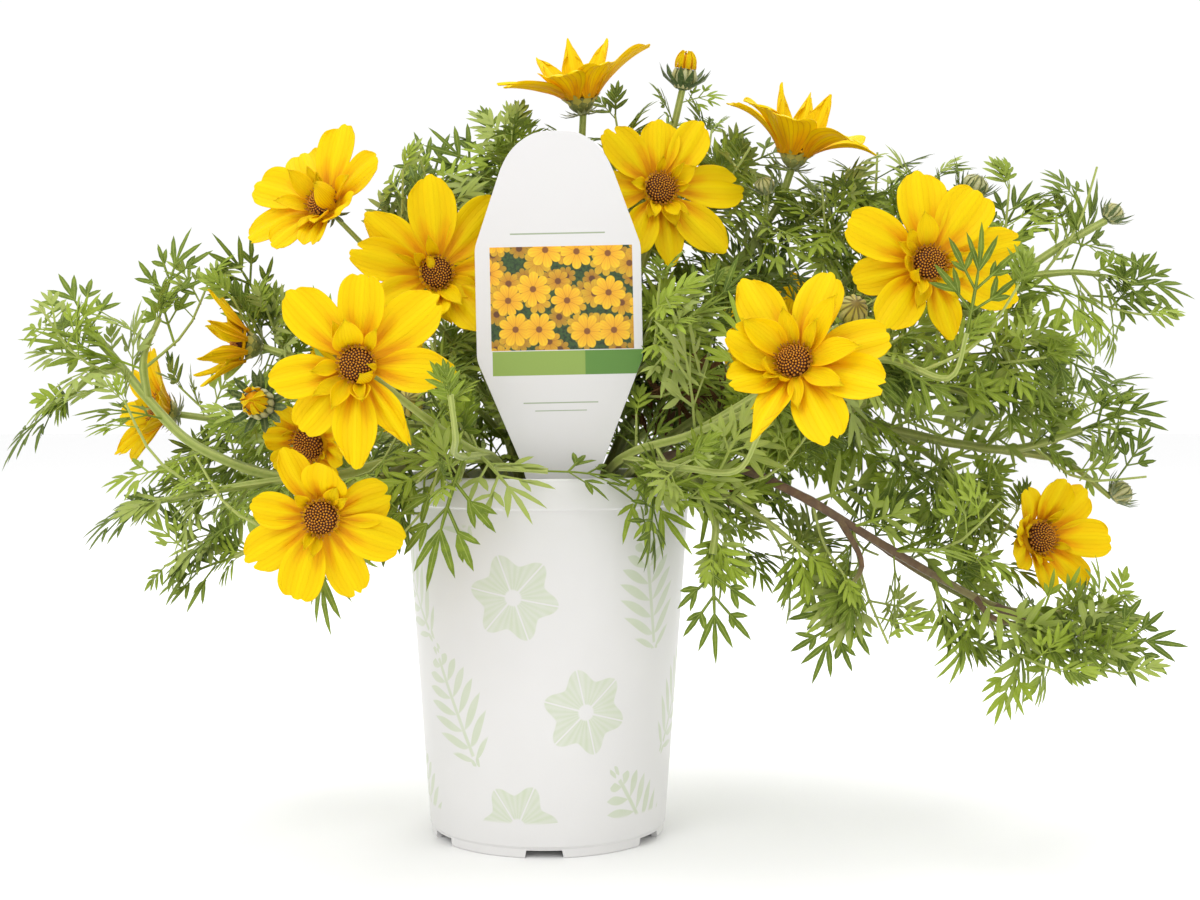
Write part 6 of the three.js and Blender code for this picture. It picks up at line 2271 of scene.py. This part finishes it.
STEMS = [
    LeafyStem("left_main", (-26, -6), 2.3, (0.31, 1), ((-40, -18, 137.5), (-54, -27, 137), (-76, -31, 132),
        (-98, -26, 132.5), (-129, -15, 144), (-145, -10, 159), (-155, -6, 170), (-165, -3, 181)),
        (Branch(0.83, ((-147, -9, 174), (-142, -6, 189))), Branch(0.92, ((-166, -7, 168), (-175, -7, 160))),
        Branch(0.43, ((-116, -31, 127), (-137, -28, 123)))), crowded=2.3, seen=(0.3, 0.8)),
    LeafyStem("left_lower", (-22, -16), 1.9, (0.35, 0.88), ((-36, -32, 137.5), (-50, -46, 135), (-63, -56,
        127)), (Branch(0.67, ((-85, -50, 115), (-106, -44, 105))),), "left_low", 0.5, crowded=1.0),
    LeafyStem("left_mid", (-15, -4), 2, (0.21, 0.91), ((-28, -8, 142), (-55, -12, 160), (-85, -7, 172)),
        (Branch(0.49, ((-76, -36, 162),), "left"), Branch(0.34, ((-62, -30, 150),), "left_hidden")),
        "left_side", crowded=6.0, bushy=2),
    LeafyStem("left_back", (-24, 6), 2, (0.22, 0.94), ((-44, 12, 140), (-80, 18, 147), (-115, 25, 150)),
        (Branch(0.44, ((-96, 22, 172), (-106, 14, 191))), Branch(0.62, ((-120, 30, 136), (-140, 24, 128)))),
        "left_far", crowded=3.4, bushy=2),
    LeafyStem("front_left", (-12, -22), 2, (0.42, 0.88), ((-17, -38, 138), (-24, -56, 142), (-38, -70,
        153)), (Branch(0.33, ((-27, -80, 141), (-25, -103, 148), (-26, -108, 160))), Branch(0.19, ((-14,
        -58, 136), (2, -61, 135))), Branch(0.28, ((-36, -53, 136.5), (-43, -54, 131)))), "left_front"),
    LeafyStem("top_left", (-8, 4), 2, (0.18, 0.91), ((-16, -2, 150), (-27, -8, 180)), (Branch(0.28, ((-30,
        -28, 159),), "inner"), Branch(0.6, ((-30, 4, 214), (-37, 7, 232))), Branch(0.3, ((-40, 0, 186),
        (-60, -6, 208)), "left_high")), "left_inner"),
    LeafyStem("top", (0, 12), 1.9, (0.17, 0.85), ((3, 10, 160), (8, 8, 205), (12, 4, 245)), (Branch(0.65,
        ((-10, 5, 222), (-20, 2, 233))),), "crown", reach=16.0, bushy=2),
    LeafyStem("top_right", (9, 10), 1.9, (0.23, 0.95), ((18, 12, 165), (34, 10, 220), (46, 4, 258)),
        (Branch(0.63, ((54, 16, 236), (70, 20, 246))),), "top", crowded=11.0, rise=12.0, reach=20.0,
        bushy=2),
    LeafyStem("label_right", (6, -8), 1.9, (0.16, 0.83), ((14, -12, 150), (28, -8, 190), (39, -1, 222)),
        (Branch(0.32, ((34, -26, 170), (48, -34, 182))),), "label_right"),
    LeafyStem("right_upper", (16, 8), 2.1, (0.17, 0.89), ((36, 14, 160), (66, 16, 203), (86, 10, 232)),
        (Branch(0.76, ((80, 2, 224),), "high"), Branch(0.39, ((66, 34, 186), (86, 42, 204)))), "right_high",
        crowded=10.0, rise=12.0, bushy=2),
    LeafyStem("right_top", (24, 14), 2.1, (0.19, 0.95), ((58, 24, 155), (100, 24, 193), (135, 12, 222)),
        (Branch(0.63, ((112, 14, 221), (118, 9, 228))), Branch(0.46, ((112, 44, 190), (132, 52, 200)))),
        "right_top", crowded=11.0, rise=16.0, bushy=2),
    LeafyStem("right_far_top", (30, 4), 2.1, (0.23, 0.95), ((66, 6, 146), (115, 0, 172), (160, -8, 197),
        (185, -13, 214)), (Branch(0.81, ((190, -14, 205), (199, -16, 204))), Branch(0.72, ((161, -3, 206),
        (163, -2, 212))), Branch(0.57, ((150, -26, 186), (172, -34, 178)))), "far_top", crowded=5.2),
    LeafyStem("right_mid", (20, -2), 2, (0.17, 0.87), ((46, -14, 146), (85, -28, 172), (114, -38, 192)),
        (Branch(0.58, ((116, -56, 172), (133, -74, 166), (137, -79, 180))),), "right_upper"),
    LeafyStem("right_long", (28, -6), 2.2, (0.19, 1), ((60, -14, 143), (105, -12, 151), (149, -9, 143),
        (170, -10, 141), (194, -12, 148)), (Branch(0.83, ((190, -6, 136),), "far_right"), Branch(0.61,
        ((147, 0, 134), (162, 0, 118)), "right_far"), Branch(0.46, ((132, -24, 164), (152, -30, 160)))),
        None, 0.25, crowded=4.8),
    LeafyStem("woody", (24, -14), 2.1, (0.46, 1), ((44, -27, 139), (62, -34, 137), (88, -38, 126), (110,
        -39, 113), (138, -38, 96.5), (160, -37, 86), (182, -35, 84)), (Branch(0.24, ((84, -26, 128), (110,
        -24, 113), (134, -22, 97), (154, -18, 86))), Branch(0.52, ((109, -46, 102), (105, -47, 95))),
        Branch(0.82, ((154, -46, 84), (163, -50, 82))), Branch(0.86, ((174, -46, 80), (185, -49, 79)))),
        None, 1.0, crowded=4.5, seen=(0.3, 0.85)),
    LeafyStem("right_front", (13, -18), 2, (0.26, 0.89), ((28, -36, 139), (50, -54, 147), (72, -66, 157)),
        (Branch(0.57, ((84, -52, 168), (100, -46, 180)), "middle"), Branch(0.27, ((48, -64, 136), (64, -76,
        136), (70, -84, 148)))), "right_front"),
    LeafyStem("right_low", (20, -24), 1.8, (0.29, 1), ((36, -38, 137.5), (50, -48, 132), (58, -55, 118),
        (57, -58, 107)), (Branch(0.47, ((74, -52, 119), (90, -50, 106))), Branch(0.21, ((34, -54, 137), (37,
        -60, 127)))), None, 0.2),
    LeafyStem("back_left", (-16, 18), 2, (0.17, 0.88), ((-32, 36, 142), (-54, 48, 158)), (Branch(0.47,
        ((-66, 58, 138), (-92, 70, 126), (-112, 74, 122))),), "back_left"),
    LeafyStem("back", (-4, 26), 2, (0.2, 0.89), ((-8, 44, 150), (-16, 56, 185)), (Branch(0.24, ((-10, 66,
        141), (-14, 90, 126), (-16, 106, 110))), Branch(0.56, ((6, 54, 196), (14, 50, 216)))), "back_high"),
    LeafyStem("back_right", (14, 24), 2, (0.21, 0.89), ((36, 42, 146), (62, 56, 162)), (Branch(0.38, ((76,
        62, 140), (108, 66, 130), (136, 62, 122))), Branch(0.32, ((44, 66, 140), (52, 92, 128)))),
        "back_right"),
]
for number, stem in enumerate(STEMS):
    stem.seed = number + 1


@dataclass
class Studio:
    """The pale floor, soft light and the camera at the photograph's angle. Metres and watts."""

    lens: float = 48.2
    sensor: float = 36.0
    stand: Triple = (0.0193, -0.595, 0.156)
    pitch: float = 88.5
    floor_reach: float = 9.0
    air: float = 1.02
    aim: float = 0.16
    lamps: tuple[tuple[str, Triple, float, float], ...] = (
        ("key", (-0.7, -1.1, 1.7), 0.9, 9.0), ("top", (0.1, 0.2, 2.0), 1.4, 12.0),
        ("back", (0.5, 1.4, 1.3), 1.2, 5.0))

    def build(self) -> None:
        """Makes the camera, the floor and the light."""
        camera = bpy.data.cameras.new("camera")
        camera.lens, camera.sensor_width = self.lens, self.sensor
        camera.clip_start = 0.01
        holder = bpy.data.objects.new("camera", camera)
        holder.location = self.stand
        holder.rotation_euler = (math.radians(self.pitch), 0, 0)
        self.link(holder)
        bpy.context.scene.camera = holder
        self.floor()
        for name, place, size, power in self.lamps:
            self.light(name, place, size, power)
        world = bpy.data.worlds.new("studio")
        world.use_nodes = True
        background = world.node_tree.nodes["Background"]
        background.inputs["Color"].default_value = (1, 1, 1, 1)
        background.inputs["Strength"].default_value = self.air
        bpy.context.scene.world = world
        settings = bpy.context.scene.view_settings
        settings.view_transform, settings.look = "Standard", "None"

    def link(self, thing: Piece) -> None:
        """Puts something into the scene."""
        bpy.context.scene.collection.objects.link(thing)

    def floor(self) -> None:
        """Makes the floor, a wide sheet of faces."""
        mesh = bpy.data.meshes.new("studio_floor")
        maker = bmesh.new()
        bmesh.ops.create_grid(maker, x_segments=8, y_segments=8, size=self.floor_reach)
        maker.to_mesh(mesh)
        maker.free()
        mesh.materials.append(FloorPaint().make())
        floor = bpy.data.objects.new("studio_floor", mesh)
        self.link(floor)

    def light(self, name: str, place: Triple, size: float, power: float) -> None:
        """Makes one soft light that looks at the plant.

        Args:
            name: Its name.
            place: Its place.
            size: How wide it is.
            power: Its watts.
        """
        lamp = bpy.data.lights.new(name, "AREA")
        lamp.shape, lamp.size, lamp.energy = "DISK", size, power
        holder = bpy.data.objects.new(name, lamp)
        holder.location = place
        aim = Vector((0.0, 0.0, self.aim)) - Vector(place)
        holder.rotation_euler = aim.to_track_quat("-Z", "Y").to_euler()
        self.link(holder)


def main() -> None:
    """Builds the studio and then every piece of the part, and logs each piece's face count."""
    logging.basicConfig(level=logging.INFO, format="%(name)s %(message)s")
    Studio().build()
    pot = NurseryPot()
    yellow, florets = RayYellow().make(), DiscFlorets().make()
    greens = [LeafGreen().make(), StemSkin().make(), BudScale().make()]
    around = Surroundings()
    cuts = {grade: [LeafCut(20 * g + i, grade) for i in range(7)] for g, grade in enumerate(Grade)}
    for head in HEADS.values():
        around.show(np.array(head.at), head.shown())
    for leafy in STEMS:
        for place in leafy.places_seen():
            around.show(place, leafy.radius)
    plain = (maker.build() for maker in (pot, PlantLabel(), PottingMix(pot)))
    flowers = (flower.build(yellow, florets) for flower in BLOOMS)
    buds = (bud.build(yellow) for bud in BUDS)
    stems = (leafy.build(greens, around, cuts) for leafy in STEMS)
    for piece in chain.from_iterable(chain(plain, flowers, buds, stems)):
        LOG.info("%s: %d faces", piece.name, len(piece.data.polygons))
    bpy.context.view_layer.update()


if __name__ == "__main__":
    main()
